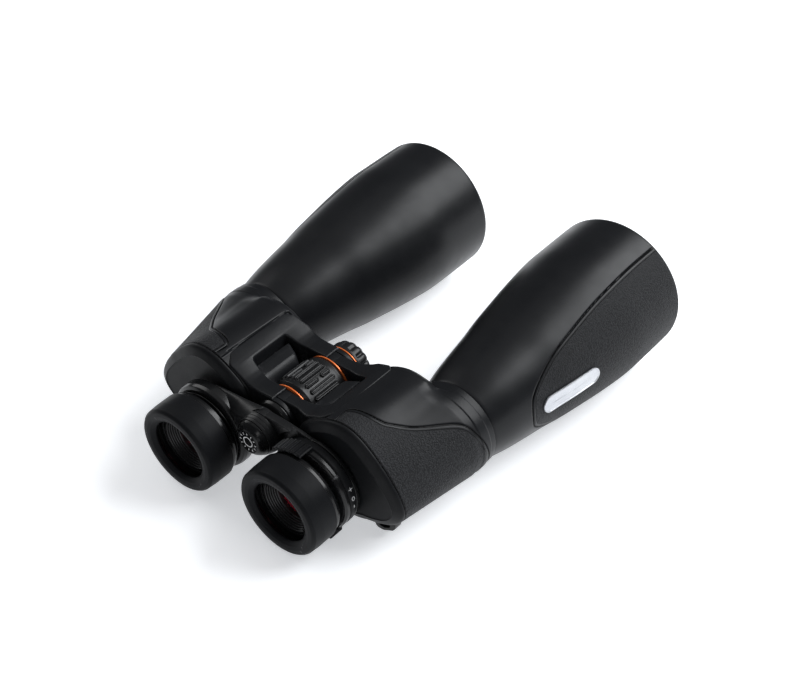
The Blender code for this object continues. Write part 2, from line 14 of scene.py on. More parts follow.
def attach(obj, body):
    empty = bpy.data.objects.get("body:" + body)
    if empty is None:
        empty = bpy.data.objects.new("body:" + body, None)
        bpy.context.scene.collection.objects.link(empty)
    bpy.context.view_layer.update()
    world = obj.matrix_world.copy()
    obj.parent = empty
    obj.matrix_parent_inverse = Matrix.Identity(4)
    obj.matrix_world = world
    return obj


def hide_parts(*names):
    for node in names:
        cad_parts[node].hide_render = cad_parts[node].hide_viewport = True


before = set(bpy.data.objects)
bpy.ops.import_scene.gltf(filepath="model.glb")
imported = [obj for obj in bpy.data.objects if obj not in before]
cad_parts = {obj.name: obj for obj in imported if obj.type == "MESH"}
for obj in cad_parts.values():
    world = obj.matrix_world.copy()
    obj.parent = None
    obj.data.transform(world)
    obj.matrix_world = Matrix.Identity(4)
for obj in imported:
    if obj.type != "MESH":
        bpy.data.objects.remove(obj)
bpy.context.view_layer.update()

PITCH = math.radians(3.07)
TY, TZ = -122.1743, 38.1577
EYE_X, EYE_Z = 34.2, -13.65
OBJ_X, OBJ_Z = 65.0, -9.0
SEAM, COLLAR_R = 38.0, 24.4
MIDDLE = (47.0, -6.0)
BARREL = [(98.4, 23.3), (111, 26.3), (124, 28.6), (138, 30.8), (151, 33.3), (164, 35.3),
          (177, 37.2), (190, 38.8), (203, 39.95), (216, 40.08), (229, 40.1), (240.6, 40.0)]
REAR = [(82.4, -12.5), (79.6, -5), (75, 2.2), (68.4, 10.2), (62, 16.4), (57.3, 20), (51.5, 22.8),
        (45, 23.6), (38, 22), (31, 18.6), (25, 15), (19.5, 10.5), (16.8, 5), (15.2, -2), (13.6, -9),
        (13.2, -18), (14.6, -26), (19, -32), (27, -35.5), (36, -36), (47, -34), (60, -30.5),
        (69, -27.5), (76.5, -23.5), (80.8, -18.6)]
FRONT = [(89.5, -9), (86.2, 3.25), (82.3, 8.3), (77.25, 12.2), (71.3, 14.9), (65, 16.9),
         (58, 19.3), (50, 21.3), (43, 21.6), (36, 19.8), (30, 16.5), (25, 12.5), (21, 7), (18.5, 0),
         (17.4, -8), (17.6, -18), (21, -26), (28, -31), (38, -33), (50, -33.5), (60, -34), (68, -33.4),
         (75, -31.4), (82.3, -26.3), (86.5, -20.9)]
GRIP_TOP = [(30.0, 104), (44.0, 105.5), (47.2, 104.5), (48.6, 101), (49.7, 95), (52.7, 71), (56.8, 59.6), (61.9, 48.8), (67, 41.5), (72.7, 35.5),
            (80.8, 27.5), (84.6, 21.5), (87.1, 14.3), (89.2, 7.2), (91.3, -1.5), (92.7, -9), (93.6, -20), (93.8, -32),
            (93.8, -118), (34.0, -118)]
INLAY = [(123.5, 0), (124.0, 9), (125.4, 17), (128, 22.5), (131, 26.7), (136, 32), (144, 38.5), (152, 42.6),
         (162, 45.8), (175, 49.2), (190, 51.7), (216, 53.5), (246, 53.2)]

world = Matrix.Translation((0, TY / 1000, TZ / 1000)) @ Matrix.Rotation(PITCH, 4, "X") @ Matrix.Scale(0.001, 4)
R_ = np.array(world, float)


# =============================================================================== materials
def nt(name):
    mat = bpy.data.materials.new(name)
    mat.use_nodes = True
    tree = mat.node_tree
    return mat, tree, tree.nodes["Principled BSDF"]


def node(tree, kind, **values):
    n = tree.nodes.new(kind)
    for k, v in values.items():
        if k in n.inputs:
            n.inputs[k].default_value = v
        else:
            setattr(n, k, v)
    return n


def coords(tree):
    return tree.nodes.new("ShaderNodeTexCoord").outputs["Object"]


def noise(tree, co, scale, detail=4.0, rough=0.55):
    n = node(tree, "ShaderNodeTexNoise", Scale=scale, Detail=detail, Roughness=rough)
    tree.links.new(co, n.inputs["Vector"])
    return n.outputs["Fac"]


def remap(tree, value, lo, hi, to_lo, to_hi):
    n = node(tree, "ShaderNodeMapRange")
    n.inputs["From Min"].default_value, n.inputs["From Max"].default_value = lo, hi
    n.inputs["To Min"].default_value, n.inputs["To Max"].default_value = to_lo, to_hi
    tree.links.new(value, n.inputs["Value"])
    return n.outputs["Result"]


def mix(tree, factor, a, b):
    n = tree.nodes.new("ShaderNodeMix")
    n.data_type = "RGBA"
    tree.links.new(factor, n.inputs["Factor"])
    for socket, v in ((n.inputs["A"], a), (n.inputs["B"], b)):
        if isinstance(v, tuple):
            socket.default_value = (*v, 1.0)
        else:
            tree.links.new(v, socket)
    return n.outputs["Result"]


def bump(tree, bsdf, height, strength, distance, previous=None):
    n = node(tree, "ShaderNodeBump", Strength=strength, Distance=distance)
    tree.links.new(height, n.inputs["Height"])
    if previous is not None:
        tree.links.new(previous, n.inputs["Normal"])
    tree.links.new(n.outputs["Normal"], bsdf.inputs["Normal"])
    return n.outputs["Normal"]


def worn(tree, low=0.53, high=0.64):
    """1 along sharp outer edges, broken up by a fine noise."""
    geo = tree.nodes.new("ShaderNodeNewGeometry")
    edge = remap(tree, geo.outputs["Pointiness"], low, high, 0.0, 1.0)
    speck = remap(tree, noise(tree, coords(tree), 900.0, 3.0), 0.42, 0.68, 0.0, 1.0)
    n = node(tree, "ShaderNodeMath", operation="MULTIPLY")
    tree.links.new(edge, n.inputs[0])
    tree.links.new(speck, n.inputs[1])
    return n.outputs["Value"]


def moulded(name, base, light, rough, grain=1400.0, grain_depth=0.00002, sheen=0.0, specular=0.5, metal=0.0,
            spread=0.06, wear=(0.09, 0.09, 0.095)):
    """Moulded rubber, plastic or anodised metal: cloudy tone, fine grain, edges a little worn."""
    mat, tree, bsdf = nt(name)
    co = coords(tree)
    cloud = remap(tree, noise(tree, co, 38.0, 5.0), 0.3, 0.7, 0.0, 1.0)
    fine = noise(tree, co, grain, 3.0)
    colour = mix(tree, cloud, base, light)
    colour = mix(tree, remap(tree, fine, 0.35, 0.75, 0.0, 0.35), colour, tuple(min(1.0, c * 1.7) for c in light))
    colour = mix(tree, worn(tree), colour, wear)
    tree.links.new(colour, bsdf.inputs["Base Color"])
    tree.links.new(remap(tree, noise(tree, co, 120.0, 6.0), 0.25, 0.75, rough - spread, rough + spread), bsdf.inputs["Roughness"])
    bsdf.inputs["Metallic"].default_value = metal
    bsdf.inputs["Specular IOR Level"].default_value = specular
    bsdf.inputs["Sheen Weight"].default_value = sheen
    bsdf.inputs["Sheen Roughness"].default_value = 0.5
    first = bump(tree, bsdf, noise(tree, co, 210.0, 4.0), 0.25, 0.00003)
    bump(tree, bsdf, fine, 0.6, grain_depth, first)
    return mat


def ramp(tree, value, lo, hi, stops):
    """A piecewise linear curve of value, as grey levels between 0 and 1."""
    n = tree.nodes.new("ShaderNodeValToRGB")
    tree.links.new(remap(tree, value, lo, hi, 0.0, 1.0), n.inputs["Fac"])
    items = n.color_ramp.elements
    while len(items) < len(stops):
        items.new(0.5)
    for item, (at, level) in zip(items, stops):
        item.position = (at - lo) / (hi - lo)
        item.color = (level, level, level, 1.0)
    return n.outputs["Color"]


def grip_armour(name, second, base, light, rough, grip, grip_light, grip_rough):
    """Satin armour that turns into stippled grip rubber inside an outline. The mesh holds the distance
    to the outline in millimetres: a deep groove at 0, a smooth strip, a fine line, then the stipple."""
    mat, tree, bsdf = nt(name)
    co = coords(tree)
    dist = node(tree, "ShaderNodeAttribute", attribute_name="inlay").outputs["Fac"]
    inside = ramp(tree, dist, -1.0, 3.0, [(-1.0, 0.0), (second + 0.12, 0.0), (second + 0.4, 1.0), (3.0, 1.0)])
    # painted shade: dark is 1 in the groove at 0 and 0.75 on the fine line at second, and the colour there is darkened
    # to near black to stand in for the shade in these recesses
    dark = ramp(tree, dist, -1.0, 3.0, [(-0.42, 0.0), (-0.2, 1.0), (0.2, 1.0), (0.42, 0.0), (second - 0.26, 0.0), (second - 0.08, 0.75),
                                        (second + 0.08, 0.75), (second + 0.26, 0.0)])
    relief = ramp(tree, dist, -1.0, 3.0, [(-0.5, 0.5), (-0.2, 0.0), (0.2, 0.0), (0.5, 0.8), (second - 0.3, 0.8), (second - 0.06, 0.3),
                                          (second + 0.06, 0.3), (second + 0.34, 0.8), (3.0, 0.8)])
    cells = node(tree, "ShaderNodeTexVoronoi", Scale=1400.0, Randomness=1.0)
    cells.feature = "SMOOTH_F1"
    cells.inputs["Smoothness"].default_value = 0.5
    tree.links.new(co, cells.inputs["Vector"])
    pebble = remap(tree, cells.outputs["Distance"], 0.1, 0.75, 1.0, 0.0)
    fine = noise(tree, co, 1500.0, 3.0)
    cloud = remap(tree, noise(tree, co, 40.0, 5.0), 0.3, 0.7, 0.0, 1.0)
    plain = mix(tree, cloud, base, light)
    plain = mix(tree, remap(tree, fine, 0.35, 0.75, 0.0, 0.3), plain, tuple(c * 1.6 for c in light))
    rubber = mix(tree, cloud, grip, grip_light)
    rubber = mix(tree, remap(tree, pebble, 0.2, 1.0, 0.0, 0.85), rubber, tuple(c * 2.3 for c in grip_light))
    colour = mix(tree, inside, plain, rubber)
    colour = mix(tree, worn(tree), colour, (0.06, 0.06, 0.065))
    # painted shade: the groove and the fine line are darkened to near black
    colour = mix(tree, dark, colour, (0.0012, 0.0012, 0.0014))
    tree.links.new(colour, bsdf.inputs["Base Color"])
    bsdf.inputs["Specular IOR Level"].default_value = 0.18
    satin = remap(tree, noise(tree, co, 120.0, 6.0), 0.25, 0.75, rough - 0.04, rough + 0.04)
    tree.links.new(mix(tree, inside, satin, remap(tree, fine, 0.3, 0.7, grip_rough - 0.07, grip_rough + 0.07)), bsdf.inputs["Roughness"])
    first = bump(tree, bsdf, relief, 1.0, 0.0007)
    second_bump = bump(tree, bsdf, fine, 0.6, 0.000016, first)
    stipple = node(tree, "ShaderNodeMath", operation="MULTIPLY")
    tree.links.new(inside, stipple.inputs[0])
    tree.links.new(pebble, stipple.inputs[1])
    bump(tree, bsdf, stipple.outputs["Value"], 1.0, 0.00024, second_bump)
    return mat


def stippled(name, base, light, rough):
    """Grip rubber with a dense, fine pebble."""
    mat, tree, bsdf = nt(name)
    co = coords(tree)
    cells = node(tree, "ShaderNodeTexVoronoi", Scale=1250.0, Randomness=1.0)
    cells.feature = "SMOOTH_F1"
    cells.inputs["Smoothness"].default_value = 0.5
    tree.links.new(co, cells.inputs["Vector"])
    pebble = remap(tree, cells.outputs["Distance"], 0.1, 0.75, 1.0, 0.0)
    fine = noise(tree, co, 2600.0, 3.0)
    cloud = remap(tree, noise(tree, co, 45.0, 4.0), 0.3, 0.7, 0.0, 1.0)
    colour = mix(tree, cloud, base, light)
    colour = mix(tree, remap(tree, pebble, 0.2, 1.0, 0.0, 0.8), colour, tuple(c * 2.2 for c in light))
    colour = mix(tree, worn(tree), colour, (0.10, 0.10, 0.105))
    tree.links.new(colour, bsdf.inputs["Base Color"])
    tree.links.new(remap(tree, fine, 0.3, 0.7, rough - 0.08, rough + 0.08), bsdf.inputs["Roughness"])
    bsdf.inputs["Specular IOR Level"].default_value = 0.45
    first = bump(tree, bsdf, pebble, 0.9, 0.00022)
    bump(tree, bsdf, fine, 0.5, 0.00004, first)
    return mat


def brushed(name, base, dark, rough, metal=1.0, stretch=(60.0, 1.0, 60.0), scale=55.0):
    """Turned or brushed metal: fine lines across the stretch, and stains in the tone."""
    mat, tree, bsdf = nt(name)
    co = coords(tree)
    mapping = node(tree, "ShaderNodeMapping")
    mapping.inputs["Scale"].default_value = stretch
    tree.links.new(co, mapping.inputs["Vector"])
    lines = noise(tree, mapping.outputs["Vector"], scale, 4.0, 0.6)
    cloud = remap(tree, noise(tree, co, 70.0, 5.0), 0.3, 0.7, 0.0, 1.0)
    colour = mix(tree, cloud, base, dark)
    tree.links.new(colour, bsdf.inputs["Base Color"])
    tree.links.new(remap(tree, lines, 0.3, 0.7, rough - 0.07, rough + 0.09), bsdf.inputs["Roughness"])
    bsdf.inputs["Metallic"].default_value = metal
    bump(tree, bsdf, lines, 0.35, 0.00002)
    return mat


def coated(name, tint, specular_tint, deep, transmission, coat):
    """Multicoated optical glass: a coloured reflection over a dark or clear body, with a faint bloom."""
    mat, tree, bsdf = nt(name)
    co = coords(tree)
    bloom = remap(tree, noise(tree, co, 60.0, 3.0), 0.3, 0.75, 0.0, 1.0)
    # the base colour is the glass body; for the eye lens it is a painted reflection, the red glint of its coating
    tree.links.new(mix(tree, bloom, tint, deep), bsdf.inputs["Base Color"])
    tree.links.new(remap(tree, noise(tree, co, 500.0, 5.0), 0.45, 0.8, 0.015, 0.07), bsdf.inputs["Roughness"])
    bsdf.inputs["Specular Tint"].default_value = (*specular_tint, 1.0)
    bsdf.inputs["Specular IOR Level"].default_value = 0.9
    bsdf.inputs["IOR"].default_value = 1.6
    bsdf.inputs["Transmission Weight"].default_value = transmission
    bsdf.inputs["Coat Weight"].default_value = coat
    bsdf.inputs["Coat Tint"].default_value = (*specular_tint, 1.0)
    bsdf.inputs["Coat Roughness"].default_value = 0.03
    return mat


ARMOUR = moulded("satin_armour", (0.0065, 0.0069, 0.0080), (0.0085, 0.0090, 0.0102), 0.35, 1500.0, 0.000016, sheen=0.0, specular=0.18)
STIPPLE = stippled("stippled_armour", (0.0150, 0.0155, 0.0170), (0.0195, 0.0200, 0.0215), 0.68)
CUP = moulded("eyecup_rubber", (0.0060, 0.0064, 0.0073), (0.0080, 0.0084, 0.0094), 0.42, 1700.0, 0.000014, sheen=0.0, specular=0.06)
GLOSS = moulded("gloss_black", (0.0045, 0.0046, 0.0050), (0.0062, 0.0064, 0.0068), 0.22, 2200.0, 0.000006, specular=0.26, spread=0.05)
COVER = moulded("cover_black", (0.0065, 0.0069, 0.0078), (0.0086, 0.0090, 0.0100), 0.42, 1500.0, 0.000014, specular=0.10)
ANODISED = moulded("anodised_black", (0.0065, 0.0067, 0.0073), (0.0090, 0.0092, 0.0098), 0.33, 2400.0, 0.00001, specular=0.27, metal=0.0)
HOUSING_ARMOUR = grip_armour("housing_armour", 2.0, (0.0065, 0.0069, 0.0080), (0.0085, 0.0090, 0.0102), 0.36,
                             (0.0105, 0.0108, 0.0120), (0.0135, 0.0140, 0.0152), 0.58)
BARREL_ARMOUR = grip_armour("barrel_armour", 1.7, (0.0065, 0.0069, 0.0080), (0.0085, 0.0090, 0.0102), 0.34,
                            (0.0090, 0.0093, 0.0103), (0.0115, 0.0119, 0.0130), 0.58)
THREAD = moulded("fine_thread_black", (0.005, 0.005, 0.0055), (0.007, 0.007, 0.0075), 0.20, 2400.0, 0.000003, specular=0.32, metal=0.0, spread=0.04)
FLOCK = moulded("matt_inner_black", (0.0045, 0.0045, 0.0048), (0.0065, 0.0065, 0.0068), 0.78, 1800.0, 0.00003, specular=0.25)
ORANGE = moulded("anodised_orange", (0.80, 0.150, 0.030), (0.92, 0.200, 0.045), 0.30, 2400.0, 0.00001, metal=0.35, spread=0.05,
                 wear=(0.95, 0.45, 0.25))
STEEL = brushed("turned_steel", (0.52, 0.52, 0.53), (0.40, 0.40, 0.41), 0.28)
BRASS = brushed("turned_brass", (0.72, 0.53, 0.27), (0.60, 0.42, 0.19), 0.30)
SILVER = brushed("satin_silver", (0.60, 0.61, 0.63), (0.50, 0.51, 0.54), 0.30, stretch=(1.0, 1.0, 40.0), scale=220.0)
PAINT = moulded("white_marking", (0.62, 0.62, 0.62), (0.74, 0.74, 0.74), 0.5, 1800.0, 0.00001, wear=(0.8, 0.8, 0.8))
# painted reflection: the eye lens's red base colours stand in for the red glint of its coating, on top of the specular
# and coat tints
EYE_GLASS = coated("eye_lens_coating", (0.26, 0.020, 0.040), (1.0, 0.36, 0.40), (0.07, 0.006, 0.014), 0.12, 0.5)
FRONT_GLASS = coated("objective_coating", (0.82, 0.92, 0.88), (0.42, 0.85, 0.62), (0.72, 0.86, 0.80), 0.95, 0.12)
PRISM_GLASS = coated("prism_glass", (0.80, 0.86, 0.84), (0.9, 1.0, 0.95), (0.70, 0.78, 0.75), 0.85, 0.1)


# =============================================================================== mesh tools
def build(name, verts, faces, mats, indices=None, sharp=32.0, merge=0.0, inlay=None):
    """A mesh object from points in the instrument frame."""
    pts = np.asarray(verts, float)
    pts = pts @ R_[:3, :3].T + R_[:3, 3]
    mesh = bpy.data.meshes.new(name)
    mesh.from_pydata(pts.tolist(), [], [tuple(int(i) for i in f) for f in faces])
    for m in mats if isinstance(mats, (list, tuple)) else [mats]:
        mesh.materials.append(m)
    if indices is not None:
        mesh.polygons.foreach_set("material_index", np.asarray(indices, np.int32))
    if inlay is not None:
        layer = mesh.attributes.new("inlay", "FLOAT", "POINT")
        layer.data.foreach_set("value", np.asarray(inlay, np.float32))
    bm = bmesh.new()
    bm.from_mesh(mesh)
    if merge:
        bmesh.ops.remove_doubles(bm, verts=bm.verts, dist=merge / 1000)
    bmesh.ops.recalc_face_normals(bm, faces=bm.faces)
    bm.to_mesh(mesh)
    bm.free()
    mesh.polygons.foreach_set("use_smooth", [True] * len(mesh.polygons))
    if sharp is not None:
        mesh.set_sharp_from_angle(angle=math.radians(sharp))
    mesh.update()
    obj = bpy.data.objects.new(name, mesh)
    bpy.context.scene.collection.objects.link(obj)
    return obj


def grid_faces(rows, cols, wrap_rows=False, wrap_cols=True):
    i = np.arange(rows if wrap_rows else rows - 1)
    j = np.arange(cols if wrap_cols else cols - 1)
    a, b = np.meshgrid(i, j, indexing="ij")
    a2, b2 = (a + 1) % rows, (b + 1) % cols
    return np.stack([a * cols + b, a * cols + b2, a2 * cols + b2, a2 * cols + b], -1).reshape(-1, 4)


def rounded(points, closed=True, steps=5):
    """Rounds the corners of (r, y, fillet) points."""
    out, n = [], len(points)
    for k, p in enumerate(points):
        here, fillet = np.array(p[:2], float), (p[2] if len(p) > 2 else 0.0)
        if not fillet or (not closed and k in (0, n - 1)):
            out.append(tuple(here))
            continue
        before, after = np.array(points[k - 1][:2], float), np.array(points[(k + 1) % n][:2], float)
        u, v = before - here, after - here
        lu, lv = np.linalg.norm(u), np.linalg.norm(v)
        u, v = u / lu, v / lv
        half = math.acos(max(-1.0, min(1.0, float(u @ v)))) / 2
        cut = min(fillet / math.tan(half), 0.49 * lu, 0.49 * lv)
        a, b = here + u * cut, here + v * cut
        for t in np.linspace(0, 1, steps):
            out.append(tuple((1 - t) ** 2 * a + 2 * t * (1 - t) * here + t * t * b))
    return out


def revolve(name, points, axis, mats, segments=128, closed=True, steps=5, radius=None, index=None, sharp=32.0):
    """Turns (r, y, fillet) points about a line parallel to the hinge through axis = (x, z).
    radius(r, y, angle) may reshape it; index(r, y, angle) picks a face's material."""
    prof = rounded(points, closed, steps)
    r = np.array([q[0] for q in prof])[:, None]
    y = np.array([q[1] for q in prof])[:, None]
    t = np.linspace(0, 2 * math.pi, segments, endpoint=False)[None, :]
    r, y, t = r + 0 * t, y + 0 * t, t + 0 * r
    rr = radius(r, y, t) if radius else r
    verts = np.stack([axis[0] + rr * np.cos(t), y, axis[1] + rr * np.sin(t)], -1).reshape(-1, 3)
    faces = grid_faces(len(prof), segments, closed)
    ids = None
    if index:
        ids = index(r.reshape(-1)[faces[:, 0]], y.reshape(-1)[faces[:, 0]], t.reshape(-1)[faces[:, 0]])
    return build(name, verts, faces, mats, ids, sharp, merge=0.001)


def solid_revolve(name, points, axis, mats, segments=96, steps=5, radius=None, sharp=32.0):
    """The same for a profile that starts and ends on the axis."""
    return revolve(name, points, axis, mats, segments, False, steps, radius, None, sharp)


def prism_xz(name, outline, y0, y1, mats, edge=0.5, segments=3, sharp=32.0):
    """Extrudes an (x, z) outline along the hinge, with rounded edges."""
    bm = bmesh.new()
    face = bm.faces.new([bm.verts.new((x, y0, z)) for x, z in outline])
    out = bmesh.ops.extrude_face_region(bm, geom=[face])
    bmesh.ops.translate(bm, verts=[v for v in out["geom"] if isinstance(v, bmesh.types.BMVert)], vec=(0, y1 - y0, 0))
    bmesh.ops.recalc_face_normals(bm, faces=bm.faces)
    if edge:
        rims = [e for e in bm.edges if len(e.link_faces) == 2 and e.calc_face_angle(0) > math.radians(35)]
        bmesh.ops.bevel(bm, geom=rims, offset=edge, segments=segments, profile=0.6, affect="EDGES", clamp_overlap=True)
    return from_bm(name, bm, mats, sharp)


def from_bm(name, bm, mats, sharp=32.0):
    bm.transform(world)
    bmesh.ops.recalc_face_normals(bm, faces=bm.faces)
    mesh = bpy.data.meshes.new(name)
    bm.to_mesh(mesh)
    bm.free()
    for m in mats if isinstance(mats, (list, tuple)) else [mats]:
        mesh.materials.append(m)
    mesh.polygons.foreach_set("use_smooth", [True] * len(mesh.polygons))
    mesh.set_sharp_from_angle(angle=math.radians(sharp))
    obj = bpy.data.objects.new(name, mesh)
    bpy.context.scene.collection.objects.link(obj)
    return obj


def cut(obj, cutter, operation="DIFFERENCE"):
    """Applies a Boolean and removes the cutter."""
    mod = obj.modifiers.new("cut", "BOOLEAN")
    mod.object, mod.operation, mod.solver = cutter, operation, "EXACT"
    dg = bpy.context.evaluated_depsgraph_get()
    mesh = bpy.data.meshes.new_from_object(obj.evaluated_get(dg))
    obj.modifiers.clear()
    old, obj.data = obj.data, mesh
    bpy.data.meshes.remove(old)
    bpy.data.objects.remove(cutter)
    obj.data.polygons.foreach_set("use_smooth", [True] * len(obj.data.polygons))
    obj.data.set_sharp_from_angle(angle=math.radians(32))
    return obj


def joined(name, objects):
    """One object from several."""
    bpy.ops.object.select_all(action="DESELECT")
    for o in objects:
        o.select_set(True)
    bpy.context.view_layer.objects.active = objects[0]
    bpy.ops.object.join()
    objects[0].name = name
    return objects[0]


def place(piece, body, nodes=()):
    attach(piece, body)
    if nodes:
        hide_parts(*nodes)
    return piece


def smooth(x):
    x = np.clip(x, 0.0, 1.0)
    return x * x * (3 - 2 * x)


def soft_max(a, b, k):
    h = np.clip(0.5 + 0.5 * (a - b) / k, 0, 1)
    return b + (a - b) * h + k * h * (1 - h)


def edge_distance(px, py, polygon):
    """Signed distance to a closed polygon, positive inside."""
    poly = np.asarray(polygon, float)
    shape = px.shape
    px, py = px.reshape(-1), py.reshape(-1)
    best = np.full(px.shape, 1e9)
    inside = np.zeros(px.shape, bool)
    for a, b in zip(poly, np.roll(poly, -1, 0)):
        d = b - a
        length = float(d @ d)
        if length < 1e-12:
            continue
        t = np.clip(((px - a[0]) * d[0] + (py - a[1]) * d[1]) / length, 0, 1)
        best = np.minimum(best, (px - a[0] - t * d[0]) ** 2 + (py - a[1] - t * d[1]) ** 2)
        if a[1] != b[1]:
            hit = ((a[1] > py) != (b[1] > py)) & (px < (b[0] - a[0]) * (py - a[1]) / (b[1] - a[1]) + a[0])
            inside ^= hit
    return np.where(inside, 1, -1).reshape(shape) * np.sqrt(best).reshape(shape)


def spline(points, count):
    """A smooth line through points, Catmull-Rom."""
    p = np.asarray(points, float)
    p = np.vstack([2 * p[0] - p[1], p, 2 * p[-1] - p[-2]])
    out = []
    for k in range(1, len(p) - 2):
        for t in np.linspace(0, 1, count, endpoint=False):
            a, b, c, d = p[k - 1], p[k], p[k + 1], p[k + 2]
            out.append(0.5 * ((2 * b) + (c - a) * t + (2 * a - 5 * b + 4 * c - d) * t * t + (3 * b - a - 3 * c + d) * t ** 3))
    out.append(p[-2])
    return np.array(out)


# =============================================================================== prism housing
SAMPLES = 720
ANGLES = np.linspace(-math.pi, math.pi, SAMPLES, endpoint=False)


def section(points, soft=3.0):
    arm = np.array(points, float) - np.array(MIDDLE)
    ang, rad = np.arctan2(arm[:, 1], arm[:, 0]), np.hypot(arm[:, 0], arm[:, 1])
    order = np.argsort(ang)
    ang, rad = ang[order], rad[order]
    dense = np.interp(ANGLES, np.concatenate([ang[-1:] - 2 * math.pi, ang, ang[:1] + 2 * math.pi]),
                      np.concatenate([rad[-1:], rad, rad[:1]]))
    blur = np.exp(-0.5 * (np.arange(-SAMPLES // 2, SAMPLES // 2) * 360 / SAMPLES / soft) ** 2)
    blur /= blur.sum()
    return np.real(np.fft.ifft(np.fft.fft(dense) * np.fft.fft(np.fft.ifftshift(blur))))


REAR_R, FRONT_R = section(REAR, 3.6), section(FRONT, 3.6)


def ring_at(row, angle):
    wrapped = (angle + math.pi) % (2 * math.pi) - math.pi
    return np.interp(wrapped, np.append(ANGLES, math.pi), np.append(row, row[0]))


def housing_radius(angle, y):
    t = np.clip((y - SEAM) / (84.0 - SEAM), 0.0, 1.0)
    return (1 - t) * ring_at(REAR_R, angle) + t * ring_at(FRONT_R, angle)


def collar_radius(angle, radius):
    dx, dz = OBJ_X - MIDDLE[0], OBJ_Z - MIDDLE[1]
    along = dx * np.cos(angle) + dz * np.sin(angle)
    return along + np.sqrt(radius * radius - dx * dx - dz * dz + along * along)


# the plate that the two hinge arms belong to: outline seen from above, (x, y, corner radius)
PLATE_RIGHT = [(2.3, 41.2), (12.0, 41.2, 3), (20.0, 38.9, 2), (31.0, 38.9, 3.5), (36.0, 45.0, 5), (36.0, 84.0, 4),
               (32.4, 87.2, 3), (24.0, 88.4, 4), (14.0, 85.4, 6), (2.3, 84.3), (2.3, 77.4), (14.0, 77.4, 5),
               (24.0, 75.6, 3), (27.2, 74.8, 2.2), (27.2, 51.4, 2.2), (24.0, 50.4, 3), (14.0, 48.4, 5), (2.3, 48.4)]
PLATE_LEFT = [(-1.5, 38.2), (-12.0, 38.2, 3), (-20.0, 38.6, 2), (-31.0, 38.9, 3.5), (-36.0, 45.0, 5), (-36.0, 84.0, 4),
              (-32.4, 87.2, 3), (-24.0, 88.9, 4), (-14.0, 87.6, 6), (-1.5, 87.1), (-1.5, 77.4), (-14.0, 77.4, 5),
              (-24.0, 75.6, 3), (-27.2, 74.8, 2.2), (-27.2, 51.4, 2.2), (-24.0, 50.4, 3), (-14.0, 48.4, 5), (-1.5, 48.4)]
TOP_X = [0, 5, 10, 14, 18, 21, 24, 27, 30, 33, 36.5, 40]
TOP_RIGHT = [12.1, 12.05, 12.05, 12.25, 12.8, 13.8, 15.3, 16.8, 18.2, 19.5, 20.9, 22]
TOP_LEFT = [13.3, 13.0, 12.7, 12.75, 13.2, 14.1, 15.5, 16.9, 18.3, 19.6, 20.9, 22]


def plate_top(x, side):
    return np.interp(np.abs(x), TOP_X, TOP_RIGHT if side > 0 else TOP_LEFT)


def arm_plate(name, side):
    outline = rounded(PLATE_RIGHT if side > 0 else PLATE_LEFT, True, 6)
    bm = bmesh.new()
    face = bm.faces.new([bm.verts.new((x, y, 0.0)) for x, y in outline])
    out = bmesh.ops.extrude_face_region(bm, geom=[face])
    bmesh.ops.translate(bm, verts=[v for v in out["geom"] if isinstance(v, bmesh.types.BMVert)], vec=(0, 0, -9.0))
    bmesh.ops.recalc_face_normals(bm, faces=bm.faces)
    rims = [e for e in bm.edges if all(abs(v.co.z) < 1e-6 for v in e.verts)]
    bmesh.ops.bevel(bm, geom=rims, offset=1.0, segments=4, profile=0.5, affect="EDGES", clamp_overlap=True)
    for x in np.arange(1.6, 36.0, 0.8):
        geom = bm.verts[:] + bm.edges[:] + bm.faces[:]
        bmesh.ops.bisect_plane(bm, geom=geom, plane_co=(side * x, 0, 0), plane_no=(1, 0, 0), dist=1e-5)
    for v in bm.verts:
        top = float(plate_top(v.co.x, side))
        x = abs(v.co.x)
        if v.co.z < -6:
            deep = float(np.interp(x, [0, 15, 19, 23, 27, 40], [-10.8, -11.5, -10, -2, 8, 15]))
            v.co.z = min(deep, top - 4)
        else:
            v.co.z += top
    plate = from_bm(name, bm, ARMOUR, 38.0)
    if side < 0:
        for y0, y1 in ((40.9, 50.0), (76.0, 84.6)):
            tool = solid_revolve("tool", [(0, y0), (12.5, y0), (12.5, y1), (0, y1)], (0, 0), ARMOUR, 96)
            cut(plate, tool)
        tool = solid_revolve("tool", [(0, 30), (6.3, 30), (6.3, 95), (0, 95)], (0, 0), ARMOUR, 48)
        cut(plate, tool)
    return plate


def knuckle(name, y0, y1):
    return revolve(name, [(6.3, y0), (12.2, y0, 0.5), (12.2, y1, 0.5), (6.3, y1)], (0, 0), ARMOUR, 120)


def stations(*runs):
    out = []
    for a, b, step in runs:
        out += list(np.arange(a, b - 1e-9, step))
    return np.array(out + [runs[-1][1]])


